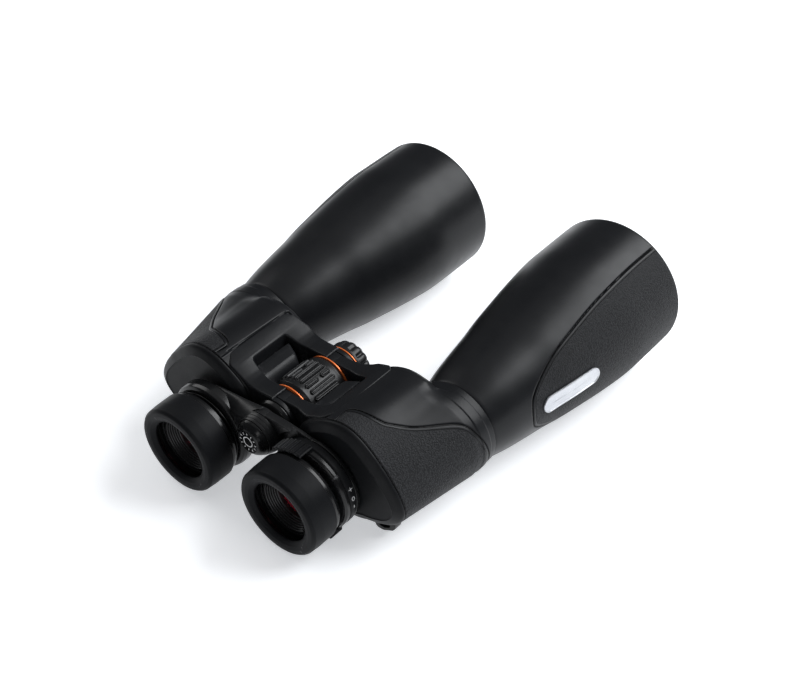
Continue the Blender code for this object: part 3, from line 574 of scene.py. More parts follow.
def housing(name, side):
    ys = stations((38.15, 39.0, 0.14), (39.0, 86.0, 0.45), (86.0, 94.0, 0.28), (94.0, 97.6, 0.45), (97.6, 98.2, 0.1))
    cols = 520
    t = np.linspace(-math.pi, math.pi, cols, endpoint=False)
    Y, T = np.meshgrid(ys, t, indexing="ij")
    base = housing_radius(T, Y)
    collar = collar_radius(T, COLLAR_R - 0.25 * smooth((Y - 97.8) / 0.4) ** 2)
    # where the shell nearly meets the collar it runs into it smoothly; elsewhere its shoulder rolls over
    gap = base - collar
    near = smooth((9.5 - gap) / 8.0)
    base = base - gap * near * smooth((Y - 79.0) / 17.0)
    roll = np.clip((Y - 85.6) / 6.4, 0, 1)
    base = base - 6.4 * (1 - np.sqrt(np.clip(1 - roll ** 2, 0, 1))) * (1 - near)
    base = np.where(Y > 92.0, base - (Y - 92.0) * 40 * (1 - near), base)
    fill = np.where(Y < 84.0, base - 30.0, collar - 30.0 * (1 - smooth((Y - 84.0) / 5.0)))
    R = np.maximum(soft_max(base, fill, 1.4), 1.0)
    R = np.where(Y > 94.0, np.maximum(collar, np.where(near > 0.2, base, 0.0)), R)
    R = R + (collar - R) * smooth((Y - 95.0) / 2.0)
    # distance from the grip's outline, on the unrolled surface
    arc = 36.0
    poly = spline([(y, math.radians(a) * arc) for y, a in GRIP_TOP[:18]], 8)
    poly = np.vstack([poly, [(93.8, math.radians(-118) * arc), (30.0, math.radians(-118) * arc), (30.0, poly[0][1])]])
    D = edge_distance(Y, T * arc, poly)
    R = R - 0.52 * np.exp(-(D / 0.40) ** 2) - 0.06 * smooth((0.3 - D) / 0.8) * smooth((D + 4) / 3)
    X = MIDDLE[0] + R * np.cos(T)
    Z = MIDDLE[1] + R * np.sin(T)
    # the shell drops away under the window, and stands a little below the arm plate
    win = smooth((Y - 47.4) / 1.2) * smooth((79.2 - Y) / 2.0) * (Z > -2) * smooth((28.2 - X) / 0.8)
    R = R - 7.0 * win
    under = smooth(((36.3 if side < 0 else 34.6) - X) / 0.5) * (Z > 6) * smooth((Y - 38.6) / 0.4) * smooth((87.6 - Y) / 0.8)
    R = R - 1.0 * under * (1 - win) - (0.7 if side < 0 else 0.0) * np.exp(-((X - 36.55) / 0.33) ** 2) * (Z > 6) * smooth((Y - 43.0) / 1.5) * smooth((86.0 - Y) / 1.5)
    # the rear lip of the shell turns in at the seam
    R = R - 0.5 * (1 - smooth((Y - 38.0) / 0.7))
    P = np.stack([side * (MIDDLE[0] + R * np.cos(T)), Y, MIDDLE[1] + R * np.sin(T)], -1)
    verts = P.reshape(-1, 3)
    faces = grid_faces(len(ys), cols)
    inner = []
    for y, drop in ((38.15, 2.4), (46.2, 2.6), (47.3, 9.6), (60.0, 9.6)):
        row = housing_radius(t, np.full(cols, y)) - drop
        inner.append(np.stack([side * (MIDDLE[0] + row * np.cos(t)), np.full(cols, y), MIDDLE[1] + row * np.sin(t)], -1))
    for y in (90.0, 98.2):
        row = collar_radius(t, 22.6)
        inner.append(np.stack([side * (MIDDLE[0] + row * np.cos(t)), np.full(cols, y), MIDDLE[1] + row * np.sin(t)], -1))
    verts = np.vstack([verts] + [i.reshape(-1, 3) for i in inner])
    rows = len(ys)
    k = np.arange(cols)
    k2 = (k + 1) % cols
    chain = [0, rows, rows + 1, rows + 2, rows + 3, rows + 4, rows + 5, rows - 1]
    extra = [np.stack([a * cols + k, a * cols + k2, b * cols + k2, b * cols + k], -1) for a, b in zip(chain, chain[1:])]
    ids = np.concatenate([np.zeros(len(faces), int), np.ones(len(extra) * cols, int)])
    faces = np.vstack([faces] + extra)
    reach = np.concatenate([D.reshape(-1), np.full(6 * cols, -5.0)])
    return build(name, verts, faces, [HOUSING_ARMOUR, FLOCK], ids, 50.0, inlay=reach)


def window_shelf(name, side):
    """The inner block seen through the gap between the arms: a nearly level top, a ridge, and a slope down."""
    xs = np.array([24.6, 24.45, 24.1, 23.4, 21.5, 19.5, 17.9, 17.3, 16.95, 16.6, 15.9, 15.0, 14.2, 13.6, 13.2])
    zs = np.array([2.0, 12.6, 13.2, 13.4, 13.05, 12.65, 12.35, 12.2, 11.75, 11.55, 10.9, 9.7, 8.3, 6.5, 2.0])
    end = 74.6 - 0.42 * (24.6 - xs)
    shrink = [(0.0, 1.0), (-0.25, 0.985), (-0.9, 0.93), (-1.8, 0.85)]
    rings = []
    for y, k in ((48.6, 1.0), (54.0, 1.0), (60.0, 1.0), (66.0, 1.0)):
        rings.append(np.stack([side * xs, np.full(len(xs), y), zs], -1))
    for back, drop in ((2.2, 0.0), (1.2, 0.12), (0.5, 0.5), (0.12, 1.1), (0.0, 2.0), (-0.2, 14.0)):
        z = np.maximum(zs - drop, 1.0)
        rings.append(np.stack([side * xs, end - back, z], -1))
    verts = np.concatenate(rings)
    n = len(xs)
    faces = [tuple(f) for f in grid_faces(len(rings), n, False, False)]
    faces.append(tuple(range(n)))
    faces.append(tuple((len(rings) - 1) * n + k for k in range(n)))
    for r in range(len(rings) - 1):
        faces.append((r * n, (r + 1) * n, (r + 1) * n + n - 1, r * n + n - 1))
    return build(name, verts, faces, ARMOUR, None, 28.0)


def rear_cover(name, side):
    """Flat face with a broad rounded rim, and a round opening for the eyepiece guide."""
    cols = 360
    t = np.linspace(-math.pi, math.pi, cols, endpoint=False)
    row = ring_at(REAR_R, t)
    rings = []
    prof = [(1.6, 37.75), (0.5, 37.75), (0.22, 37.55), (0.15, 37.2), (0.2, 36.8), (0.36, 36.4), (0.62, 36.0), (1.0, 35.62), (1.6, 35.2),
            (2.6, 34.68), (3.6, 34.22), (4.6, 33.78), (4.95, 33.62), (5.1, 33.58), (5.2, 33.66), (5.25, 33.85), (5.4, 33.9), (6.2, 33.9)]
    for inset, y in prof:
        r = row - inset
        rings.append(np.stack([side * (MIDDLE[0] + r * np.cos(t)), np.full(cols, y), MIDDLE[1] + r * np.sin(t)], -1))
    rows = len(rings)
    verts = np.concatenate(rings)
    faces = [tuple(f) for f in grid_faces(rows, cols)]
    # the flat face, with the eyepiece hole bridged to its inner edge
    bm = bmesh.new()
    vs = [bm.verts.new(v) for v in verts.tolist()]
    for f in faces:
        bm.faces.new([vs[i] for i in f])
    bm.faces.new([vs[(rows - 1) * cols + k] for k in range(cols)])
    bm.faces.new([vs[k] for k in range(cols)])
    cover = from_bm(name, bm, [COVER, ARMOUR], 30.0)
    mesh = cover.data
    tool = solid_revolve("tool", [(0, 30), (18.1, 30), (18.1, 40), (0, 40)], (side * EYE_X, EYE_Z), COVER, 96)
    cut(cover, tool)
    return cover


# =============================================================================== barrels
def barrel_radius(y):
    pts = spline(BARREL, 12)
    return np.interp(y, pts[:, 0], pts[:, 1])


def barrel(name, side):
    outer = list(stations((98.55, 122.0, 1.2), (122.0, 134.0, 0.45), (134.0, 239.8, 0.9)))
    lip = [(240.6, 0.02), (241.2, 0.10), (241.8, 0.28), (242.2, 0.55), (242.5, 0.95), (242.6, 1.4)]
    a = np.concatenate([np.linspace(-60, -30, 50, endpoint=False), np.linspace(-30, 30, 50, endpoint=False), np.linspace(30, 60, 50, endpoint=False),
                        np.linspace(60, 300, 160, endpoint=False)]) + 5.0
    t = np.radians(a)
    cols = len(t)
    # nose of the inlay is narrow, so the columns close up on it there
    ys = np.array(outer)
    Y, T = np.meshgrid(ys, t, indexing="ij")
    R = barrel_radius(Y)
    ref = 34.0
    upper = spline(INLAY, 8)
    poly = np.vstack([[(y, math.radians(h) * ref) for y, h in upper], [(y, -math.radians(h) * ref) for y, h in upper[::-1]]])
    W = (T - math.radians(5.0)) * ref
    W = np.where(W > math.pi * ref, W - 2 * math.pi * ref, W)
    D = edge_distance(Y, W, poly)
    R = R - 0.55 * np.exp(-(D / 0.42) ** 2)
    R = R - 0.22 * (1 - smooth((Y - 98.5) / 0.5))
    rings = [(R[k], ys[k]) for k in range(len(ys))]
    for y, drop in lip:
        rings.append((barrel_radius(y) - drop + 0 * t, y))
    inner = [(38.0, 242.6), (37.75, 242.35), (37.6, 241.6), (37.5, 240), (37.35, 232), (37.2, 224), (37.05, 221.8), (36.9, 219.5), (36.9, 207.2),
             (34.4, 207.0), (31.0, 170.0), (20.6, 110), (20.6, 98.0), (22.0, 98.0)]
    first_inner = len(rings)
    for r, y in inner:
        rings.append((r + 0 * t, y))
    verts = np.concatenate([np.stack([side * (OBJ_X + r * np.cos(t)), np.full(cols, y), OBJ_Z + r * np.sin(t)], -1) for r, y in rings])
    faces = grid_faces(len(rings), cols, True)
    dist = np.full((len(rings), cols), -1.0)
    dist[:len(ys)] = D
    dist[len(ys):len(ys) + 2] = D[-1]
    row = faces[:, 0] // cols
    ids = np.where(row >= first_inner, 1, 0)
    return build(name, verts, faces, [BARREL_ARMOUR, FLOCK], ids, 45.0, inlay=dist.reshape(-1))


# =============================================================================== build both halves
lens_bodies = {}
for name, side in (("left", -1), ("right", 1)):
    body = f"{name}_half"
    shell = housing(f"{name}_housing_shell", side)
    place(shell, body, [f"{name}_prism_housing", f"{name}_housing_grip"])
    plate = arm_plate(f"{name}_arm_plate", side)
    rings = [knuckle("k", y0, y1) for y0, y1 in (((41.2, 48.4), (77.4, 84.3)) if side > 0 else ((38.2, 40.9), (84.6, 87.1)))]
    place(joined(f"{name}_hinge_arms", [plate] + rings), body, ())
    place(window_shelf(f"{name}_window_shelf", side), body, ())
    place(rear_cover(f"{name}_cover", side), body, [f"{name}_rear_cover"])
    place(barrel(f"{name}_barrel", side), body, [f"{name}_objective_tube", f"{name}_barrel_grip"])
    axis = (side * OBJ_X, OBJ_Z)
    eye = (side * EYE_X, EYE_Z)
    place(solid_revolve(f"{name}_front_element", [(0, 219.6)] + [(r, 219.6 - 5.8 * (r / 36.3) ** 2) for r in np.linspace(2, 36.0, 26)]
                        + [(36.3, 213.4, 0.2), (36.3, 212.6, 0.2)] + [(r, 210.3 + 2.0 * (r / 36.3) ** 2) for r in np.linspace(36.0, 2, 20)] + [(0, 210.3)],
                        axis, FRONT_GLASS, 160, sharp=40), body, [f"{name}_objective_crown_lens"])
    place(solid_revolve(f"{name}_second_element", [(0, 209.9)] + [(r, 209.9 + 2.0 * (r / 36.3) ** 2) for r in np.linspace(2, 36.0, 20)]
                        + [(36.3, 211.9, 0.2), (36.3, 207.8, 0.2), (0, 207.8)], axis, FRONT_GLASS, 160, sharp=40), body,
          [f"{name}_objective_flint_lens"])
    ring_profile = [(36.45, 214.2), (35.0, 215.0, 0.2), (34.9, 216.2, 0.2), (35.6, 216.5, 0.1), (35.6, 217.0, 0.1), (34.95, 217.6, 0.15), (36.45, 217.6)]
    place(revolve(f"{name}_retaining_ring", ring_profile, axis, ANODISED, 180), body, [f"{name}_lens_retainer"])
    place(revolve(f"{name}_guide_tube", [(16.65, 34.4, 0.2), (17.7, 34.4, 0.3), (17.7, 45.4), (16.65, 45.4)], eye, ANODISED, 120), body,
          [f"{name}_eyepiece_guide"])
    # strap lug: a rounded plate with a slot
    x = side
    lug = prism_xz(f"{name}_lug", [(x * 57.3, -33.0), (x * 57.9, -38.0), (x * 58.8, -39.8), (x * 60.2, -40.4), (x * 63.2, -40.35), (x * 64.8, -39.6),
                                   (x * 69.4, -37.0), (x * 70.8, -35.2), (x * 71.1, -33.4), (x * 70.8, -29.2), (x * 64.0, -31.1)], 42.05, 47.35, GLOSS, 0.55)
    slot = prism_xz("tool", [(x * 60.3, -33.4), (x * 60.9, -37.5), (x * 61.6, -37.9), (x * 64.3, -37.9), (x * 67.3, -36.1), (x * 67.8, -35.2), (x * 68.1, -31.4)],
                    40.0, 50.0, GLOSS, 0)
    place(cut(lug, slot), body, [f"{name}_strap_lug"])


# =============================================================================== name plate, blank
def on_barrel(y, angle, off):
    r = barrel_radius(y) + off
    return np.stack([OBJ_X + r * np.cos(angle), y, OBJ_Z + r * np.sin(angle)], -1)


def name_plate():
    angle = math.radians(5.6)
    half, y0, y1 = 4.8, 130.7, 169.8
    layers = [(0.0, 0.25), (0.0, 0.75), (0.12, 0.98), (0.35, 1.08), (0.75, 1.08), (0.95, 0.85), (1.15, 0.80)]
    outline = []
    for k in range(25):
        a = math.pi / 2 + math.pi * k / 24
        outline.append((y0 + half, math.cos(a), math.sin(a)))
    for k in range(25):
        a = -math.pi / 2 + math.pi * k / 24
        outline.append((y1 - half, math.cos(a), math.sin(a)))
    rings = []
    for inset, height in layers:
        h = half - inset
        p = []
        for (cy, c, s), (cy2, c2, s2) in zip(outline, outline[1:] + outline[:1]):
            a, b = (cy + h * c, h * s), (cy2 + h * c2, h * s2)
            n = 14 if cy != cy2 else 1
            p += [(a[0] + (b[0] - a[0]) * q / n, a[1] + (b[1] - a[1]) * q / n) for q in range(n)]
        p = np.array(p)
        rings.append(on_barrel(p[:, 0], angle + p[:, 1] / barrel_radius(p[:, 0]), height))
    # the middle: shrink the last ring onto the centre line in steps
    h = half - layers[-1][0]
    for f in (0.75, 0.5, 0.25, 0.02):
        p = []
        for (cy, c, s), (cy2, c2, s2) in zip(outline, outline[1:] + outline[:1]):
            a, b = (cy + h * f * c, h * f * s), (cy2 + h * f * c2, h * f * s2)
            n = 14 if cy != cy2 else 1
            p += [(a[0] + (b[0] - a[0]) * q / n, a[1] + (b[1] - a[1]) * q / n) for q in range(n)]
        p = np.array(p)
        rings.append(on_barrel(p[:, 0], angle + p[:, 1] / barrel_radius(p[:, 0]), 0.80))
    cols = len(rings[0])
    faces = [tuple(f) for f in grid_faces(len(rings), cols)]
    last = (len(rings) - 1) * cols
    faces.append(tuple(last + k for k in range(cols)))
    faces.append(tuple(range(cols)))
    return build("blank_name_plate", np.concatenate(rings), faces, SILVER, None, 30.0)


place(name_plate(), "right_half", ["right_name_plate"])

# =============================================================================== focus wheel
RIB = [(k * math.pi / 12 + 0.09, 1.3, ((54.2, 63.2), (65.0, 71.4)) if k % 3 == 1 else ((54.2, 71.4),)) for k in range(24)]


def wheel_radius(r, y, t):
    out = r.copy()
    best = np.full(r.shape, 1e9)
    for centre, half, spans in RIB:
        d = np.abs((t - centre + math.pi) % (2 * math.pi) - math.pi) * 14.4
        for y0, y1 in spans:
            q = np.maximum(np.abs(y - (y0 + y1) / 2) - ((y1 - y0) / 2 - half), 0)
            best = np.minimum(best, np.hypot(q, d) - half)
    raised = (1 - smooth((best + 0.36) / 0.5)) - 0.30 * np.exp(-((best + 0.78) / 0.16) ** 2)
    # a thin line round each rib's own edge
    on_side = (r > 13.3) & (y > 52.0) & (y < 73.6)
    out = out + np.where(on_side, 1.0 * raised, 0.0)
    return out


ys = np.concatenate([[52.9], np.arange(53.1, 72.6, 0.28), [72.9]])
wheel_pts = [(6.4, 49.7), (12.7, 49.7, 0.5), (14.15, 51.6, 0.8)] + [(13.95, float(y)) for y in ys] + \
            [(14.15, 74.2, 0.8), (12.7, 76.0, 0.5), (6.4, 76.0), (6.4, 66.3), (9.9, 66.3), (9.9, 53.4), (6.4, 53.4)]
wheel = revolve("focus_wheel_body", wheel_pts, (0, 0), ANODISED, 640, True, 5, wheel_radius, sharp=45)
place(wheel, "focus_wheel", ["focus_wheel"])
for tag, y0, y1 in (("rear", 48.7, 49.45), ("front", 76.25, 77.0)):
    place(revolve(f"orange_ring_{tag}", [(6.5, y0), (13.4, y0, 0.2), (13.4, y1, 0.2), (6.5, y1)], (0, 0), ORANGE, 160), "focus_wheel",
          [f"focus_wheel_ring_{tag}"])


# =============================================================================== tripod cap
def cap_radius(r, y, t):
    near = np.abs((t * 14 / (2 * math.pi) + 0.5) % 1.0 - 0.5)
    flute = np.exp(-(near / 0.20) ** 2)
    along = smooth((y - 89.6) / 1.2) * smooth((97.4 - y) / 1.4)
    return r - 0.85 * flute * along * (r > 8.6)


cap_pts = [(0, 97.0), (5.0, 97.0), (8.4, 96.9, 0.6)] + [(8.9 + 3.1 * math.sin(a), 93.3 + 3.5 * math.cos(a)) for a in np.linspace(0.15, 1.45, 14)] + \
          [(12.1, float(y)) for y in np.arange(92.6, 89.3, -0.35)] + [(12.0, 88.4, 0.3), (2.9, 88.4), (2.9, 80.6, 0.4), (0, 80.3)]
place(solid_revolve("tripod_cap_knob", cap_pts, (0, 0), ANODISED, 280, 5, cap_radius, 45), "tripod_cap", ["tripod_cap"])
place(revolve("tripod_cap_orange_ring", [(4.0, 87.4), (12.45, 87.4, 0.2), (12.45, 88.0, 0.2), (4.0, 88.0)], (0, 0), ORANGE, 160), "tripod_cap_ring",
      ["tripod_cap_ring"])

# =============================================================================== hinge collar
place(revolve("hinge_collar", [(6.35, 33.65), (8.0, 33.62, 0.4), (9.3, 34.2, 0.8), (11.2, 35.6, 1.6), (11.85, 37.4, 0.5), (11.85, 37.88, 0.2), (6.35, 37.88)],
              (0, 0), GLOSS, 160, True, 7), "left_half", ["hinge_tension_nut"])


# =============================================================================== bridge
def bridge_outline(side):
    """Bar from the hub out to the eyepiece ring, (x, z)."""
    if side < 0:
        top = [(-1.5, 12.1), (-9, 11.8), (-16, 11.5), (-24, 10.9), (-30, 10.2), (-34.2, 9.4)]
        low = [(-34.2, -29), (-26, -30), (-21, -27), (-16.5, -18), (-12, -12.0), (-7, -10.2), (-2.5, -10.2), (-2.5, 9)]
        return top + low
    top = [(2.6, 11.7), (10, 11.6), (16, 11.5), (24, 10.9), (30, 10.2), (34.2, 9.0)]
    low = [(34.2, -31), (26, -30), (21, -27), (16.5, -18), (12, -12), (7, -10.2), (0, -11.0), (-3, 0), (0, 9)]
    return top + low


def saddle_bar(name):
    """The left bar: its top rises from the eyepiece ring to the hub and rolls down toward the eyecups."""
    xs = np.concatenate([np.linspace(-1.5, -16, 16), np.linspace(-17, -34.2, 14)])
    top = np.interp(-xs, [1.5, 5, 10, 16, 22, 28, 34.2], [12.3, 11.9, 11.2, 10.5, 10.0, 9.6, 9.0])
    low = np.interp(-xs, [1.5, 2.4, 7, 12, 16.5, 21, 26, 34.2], [9.0, -10.2, -10.2, -12, -18, -27, -30, -29])
    front = np.interp(-xs, [1.5, 8, 16, 24, 34.2], [2.2, 3.2, 4.6, 4.0, 2.6])
    start = np.interp(-xs, [1.5, 8, 13, 19, 24, 34.2], [22.7, 22.8, 23.4, 25.2, 26.3, 26.4])
    rings = []
    for x, z1, z0, f, y0 in zip(xs, top, low, front, start):
        loop = [(32.15, z0), (32.15, z1 - 0.8), (31.95, z1 - 0.25), (31.5, z1)]
        for k in np.linspace(0.08, 1.0, 9):
            loop.append((31.5 - (30.7 - y0) * k, z1 - f * k ** 2.2))
        loop += [(y0 + 0.4, z1 - f - 0.35), (y0 + 0.05, z1 - f - 1.0), (y0, z0)]
        rings.append(np.array([(x, y, z) for y, z in loop]))
    rings.insert(0, rings[0] + np.array([0.35, 0, 0]) * 1.0)
    rings[0][:, 2] = np.minimum(rings[0][:, 2], rings[1][:, 2] - 0.3 * (rings[1][:, 2] > 5))
    verts = np.concatenate(rings)
    n = len(rings[0])
    faces = [tuple(f) for f in grid_faces(len(rings), n, False, True)]
    faces += [tuple(range(n)), tuple((len(rings) - 1) * n + k for k in range(n))]
    return build(name, verts, faces, ANODISED, None, 35.0)


arm = saddle_bar("bridge_left_bar")
tool = solid_revolve("tool", [(0, 27.3), (12.3, 27.3), (12.3, 40), (0, 40)], (0, 0), ANODISED, 96)
cut(arm, tool)
tool = solid_revolve("tool", [(0, 10), (16.7, 10), (16.7, 40), (0, 40)], (-EYE_X, EYE_Z), ANODISED, 96)
cut(arm, tool)
hub = revolve("hub", [(4.5, 22.25), (10.4, 22.25, 0.1), (10.85, 23.5, 0.08), (10.74, 23.56), (10.76, 23.66), (10.96, 23.7, 0.05), (11.45, 25.2, 0.08), (11.34, 25.26),
                      (11.36, 25.36), (11.56, 25.4, 0.05), (12.05, 27.25, 0.2), (4.5, 27.25)], (0, 0), ANODISED, 160)
ring = revolve("ring", [(16.7, 22.65), (22.3, 22.65, 0.4), (23.9, 23.6, 0.8), (24.45, 25.6, 0.8), (24.45, 29.5, 0.6), (24.1, 30.15, 0.3), (16.7, 30.15)], (-EYE_X, EYE_Z), GLOSS, 180)
place(joined("bridge_left", [arm, hub, ring]), "bridge", ["bridge_left_arm"])

hub_cap = solid_revolve("hub_cap_dome", [(0, 18.0), (5.9, 18.0, 0.1), (6.05, 17.85, 0.1), (6.55, 17.85, 0.25), (7.4, 18.35, 0.6), (8.6, 19.4, 0.9), (9.6, 20.8, 0.9), (10.15, 22.0, 0.1),
                                         (0, 22.05)], (0, 0), GLOSS, 160, 6)
place(hub_cap, "bridge", ["bridge_hub_cap"])
# a plain dial of short ticks on the hub's flat face
ticks = []
for k in range(12):
    a = 2 * math.pi * k / 12
    u, v = np.array([math.cos(a), math.sin(a)]), np.array([-math.sin(a), math.cos(a)])
    quad = [u * r + v * w for r, w in ((4.3, -0.24), (5.5, -0.24), (5.5, 0.24), (4.3, 0.24))]
    bar = prism_xz(f"tick_{k}", [(q[0], q[1]) for q in quad], 17.92, 18.06, PAINT, 0.0)
    ticks.append(bar)
ticks.append(revolve("tick_ring", [(2.5, 17.92), (3.1, 17.92), (3.1, 18.06), (2.5, 18.06)], (0, 0), PAINT, 96))
place(joined("hub_dial_marks", ticks), "bridge", ())

arm = prism_xz("bridge_right_bar", bridge_outline(1), 27.85, 32.45, ANODISED, 0.7)
tool = solid_revolve("tool", [(0, 20), (28.8, 20), (28.8, 30.4), (0, 30.4)], (EYE_X, EYE_Z), ANODISED, 120)
cut(arm, tool)
tool = solid_revolve("tool", [(0, 10), (16.7, 10), (16.7, 40), (0, 40)], (EYE_X, EYE_Z), ANODISED, 96)
cut(arm, tool)
hub = revolve("hub", [(4.5, 27.65), (11.8, 27.65, 0.3), (11.8, 32.65, 0.3), (4.5, 32.65)], (0, 0), ANODISED, 140)
ring = revolve("ring", [(16.7, 30.5), (23.8, 30.5, 0.4), (24.0, 32.55, 0.4), (16.7, 32.55)], (EYE_X, EYE_Z), GLOSS, 180)
place(joined("bridge_right", [arm, hub, ring]), "bridge_right", ["bridge_right_arm"])


# =============================================================================== dioptre ring
def polar_block(name, axis, a0, a1, y0, y1, inner, outer, mats, na=120, ny=10, sharp=35.0, low=None):
    """A block on a ring: outer(angle share, y share) gives its radius."""
    a = np.radians(np.linspace(a0, a1, na))
    y = np.linspace(y0, y1, ny)
    A, Yy = np.meshgrid(a, y, indexing="ij")
    U, V = np.meshgrid(np.linspace(0, 1, na), np.linspace(0, 1, ny), indexing="ij")
    R = outer(U, V)
    if low is not None:
        # flattened underneath, so that it clears the table
        R = np.where(np.sin(A) < -0.5, np.minimum(R, low / np.maximum(-np.sin(A), 0.5)), R)
    top = np.stack([axis[0] + R * np.cos(A), Yy, axis[1] + R * np.sin(A)], -1)
    low = np.stack([axis[0] + inner * np.cos(A), Yy, axis[1] + inner * np.sin(A)], -1)
    verts = np.concatenate([top.reshape(-1, 3), low.reshape(-1, 3)])
    n = na * ny
    quads = grid_faces(na, ny, False, False)
    faces = [tuple(f) for f in quads] + [tuple(int(i) + n for i in f[::-1]) for f in quads]
    edge = [i * ny for i in range(na)] + [(na - 1) * ny + j for j in range(1, ny)] + \
           [i * ny + ny - 1 for i in range(na - 2, -1, -1)] + [j for j in range(ny - 2, 0, -1)]
    for p, q in zip(edge, edge[1:] + edge[:1]):
        faces.append((p, q, q + n, p + n))
    return build(name, verts, faces, mats, None, sharp)


eye = (EYE_X, EYE_Z)
ring = revolve("ring", [(16.85, 22.55), (22.2, 22.55, 0.2), (22.9, 23.0, 0.3), (23.5, 24.4, 0.5), (23.9, 25.9, 0.1), (24.2, 26.1, 0.1), (24.45, 26.4, 0.2), (24.45, 29.9, 0.4),
                        (16.85, 30.05)], eye, COVER, 220)
band = polar_block("band", eye, -52.0, 85.0, 22.3, 25.75, 22.6,
                   lambda u, v: 23.0 + (1.35 - 0.75 * (1 - smooth(v / 0.35)) - 0.25 * (1 - smooth((1 - v) / 0.12))) * np.sqrt(smooth(u / 0.012) * smooth((1 - u) / 0.012)), GLOSS, 220, 14)


def ribbed(u, v):
    ridge = np.abs((u * 7.0) % 1.0 - 0.5) * 2
    crest = 25.45 + 1.05 * smooth((1 - ridge - 0.42) / 0.30)
    ends = smooth(u / 0.03) * smooth((1 - u) / 0.03)
    front = smooth(v / 0.06) * smooth((1 - v) / 0.06)
    return 25.2 + (crest - 25.2) * (0.2 + 0.8 * ends) * (0.3 + 0.7 * front)


made = [ring, band]
for a0, a1 in ((86.0, 133.0), (-94.0, -47.0)):
    made.append(polar_block("block", eye, a0, a1, 17.5, 26.3, 24.7, ribbed, COVER, 280, 22, low=25.15))
    made.append(polar_block("foot", eye, a0 + 1.5, a1 - 1.5, 22.9, 26.25, 22.8, lambda u, v: 25.3 + 0 * u, COVER, 40, 6, low=25.05))
place(joined("dioptre_ring", made), "diopter_ring", ["diopter_ring"])


def mark(name, strokes, angle, y, size):
    """Small painted strokes wrapped on the ring."""
    made = []
    for k, (x0, z0, x1, z1) in enumerate(strokes):
        w = 0.17
        d = np.array([x1 - x0, z1 - z0]) * size
        length = float(np.linalg.norm(d))
        d /= length
        nrm = np.array([-d[1], d[0]]) * w
        p0 = np.array([x0, z0]) * size
        steps = max(2, int(length / 0.3))
        verts, faces = [], []
        for s in range(steps + 1):
            for off in (-1, 1):
                for height in (24.40, 24.54):
                    q = p0 + d * length * s / steps + nrm * off
                    a = angle + q[1] / 24.5
                    verts.append((eye[0] + height * math.cos(a), y + q[0], eye[1] + height * math.sin(a)))
        for s in range(steps):
            b = s * 4
            faces += [(b, b + 4, b + 6, b + 2), (b + 1, b + 3, b + 7, b + 5), (b, b + 1, b + 5, b + 4), (b + 2, b + 6, b + 7, b + 3)]
        b = steps * 4
        faces += [(0, 2, 3, 1), (b, b + 1, b + 3, b + 2)]
        made.append(build(f"{name}_{k}", verts, faces, PAINT, None, 30.0))
    return made


marks = mark("plus", [(-0.5, 0, 0.5, 0), (0, -0.5, 0, 0.5)], math.radians(21.8), 27.9, 2.3)
marks += mark("zero", [(0.45 * math.cos(a), 0.62 * math.sin(a), 0.45 * math.cos(a + 0.53), 0.62 * math.sin(a + 0.53)) for a in np.arange(0, 6.2, 0.5236)],
              math.radians(9.0), 27.9, 1.75)
marks += mark("minus", [(0, -0.5, 0, 0.5)], math.radians(-2.5), 27.9, 1.7)
place(joined("dioptre_marks", marks), "diopter_ring", ())

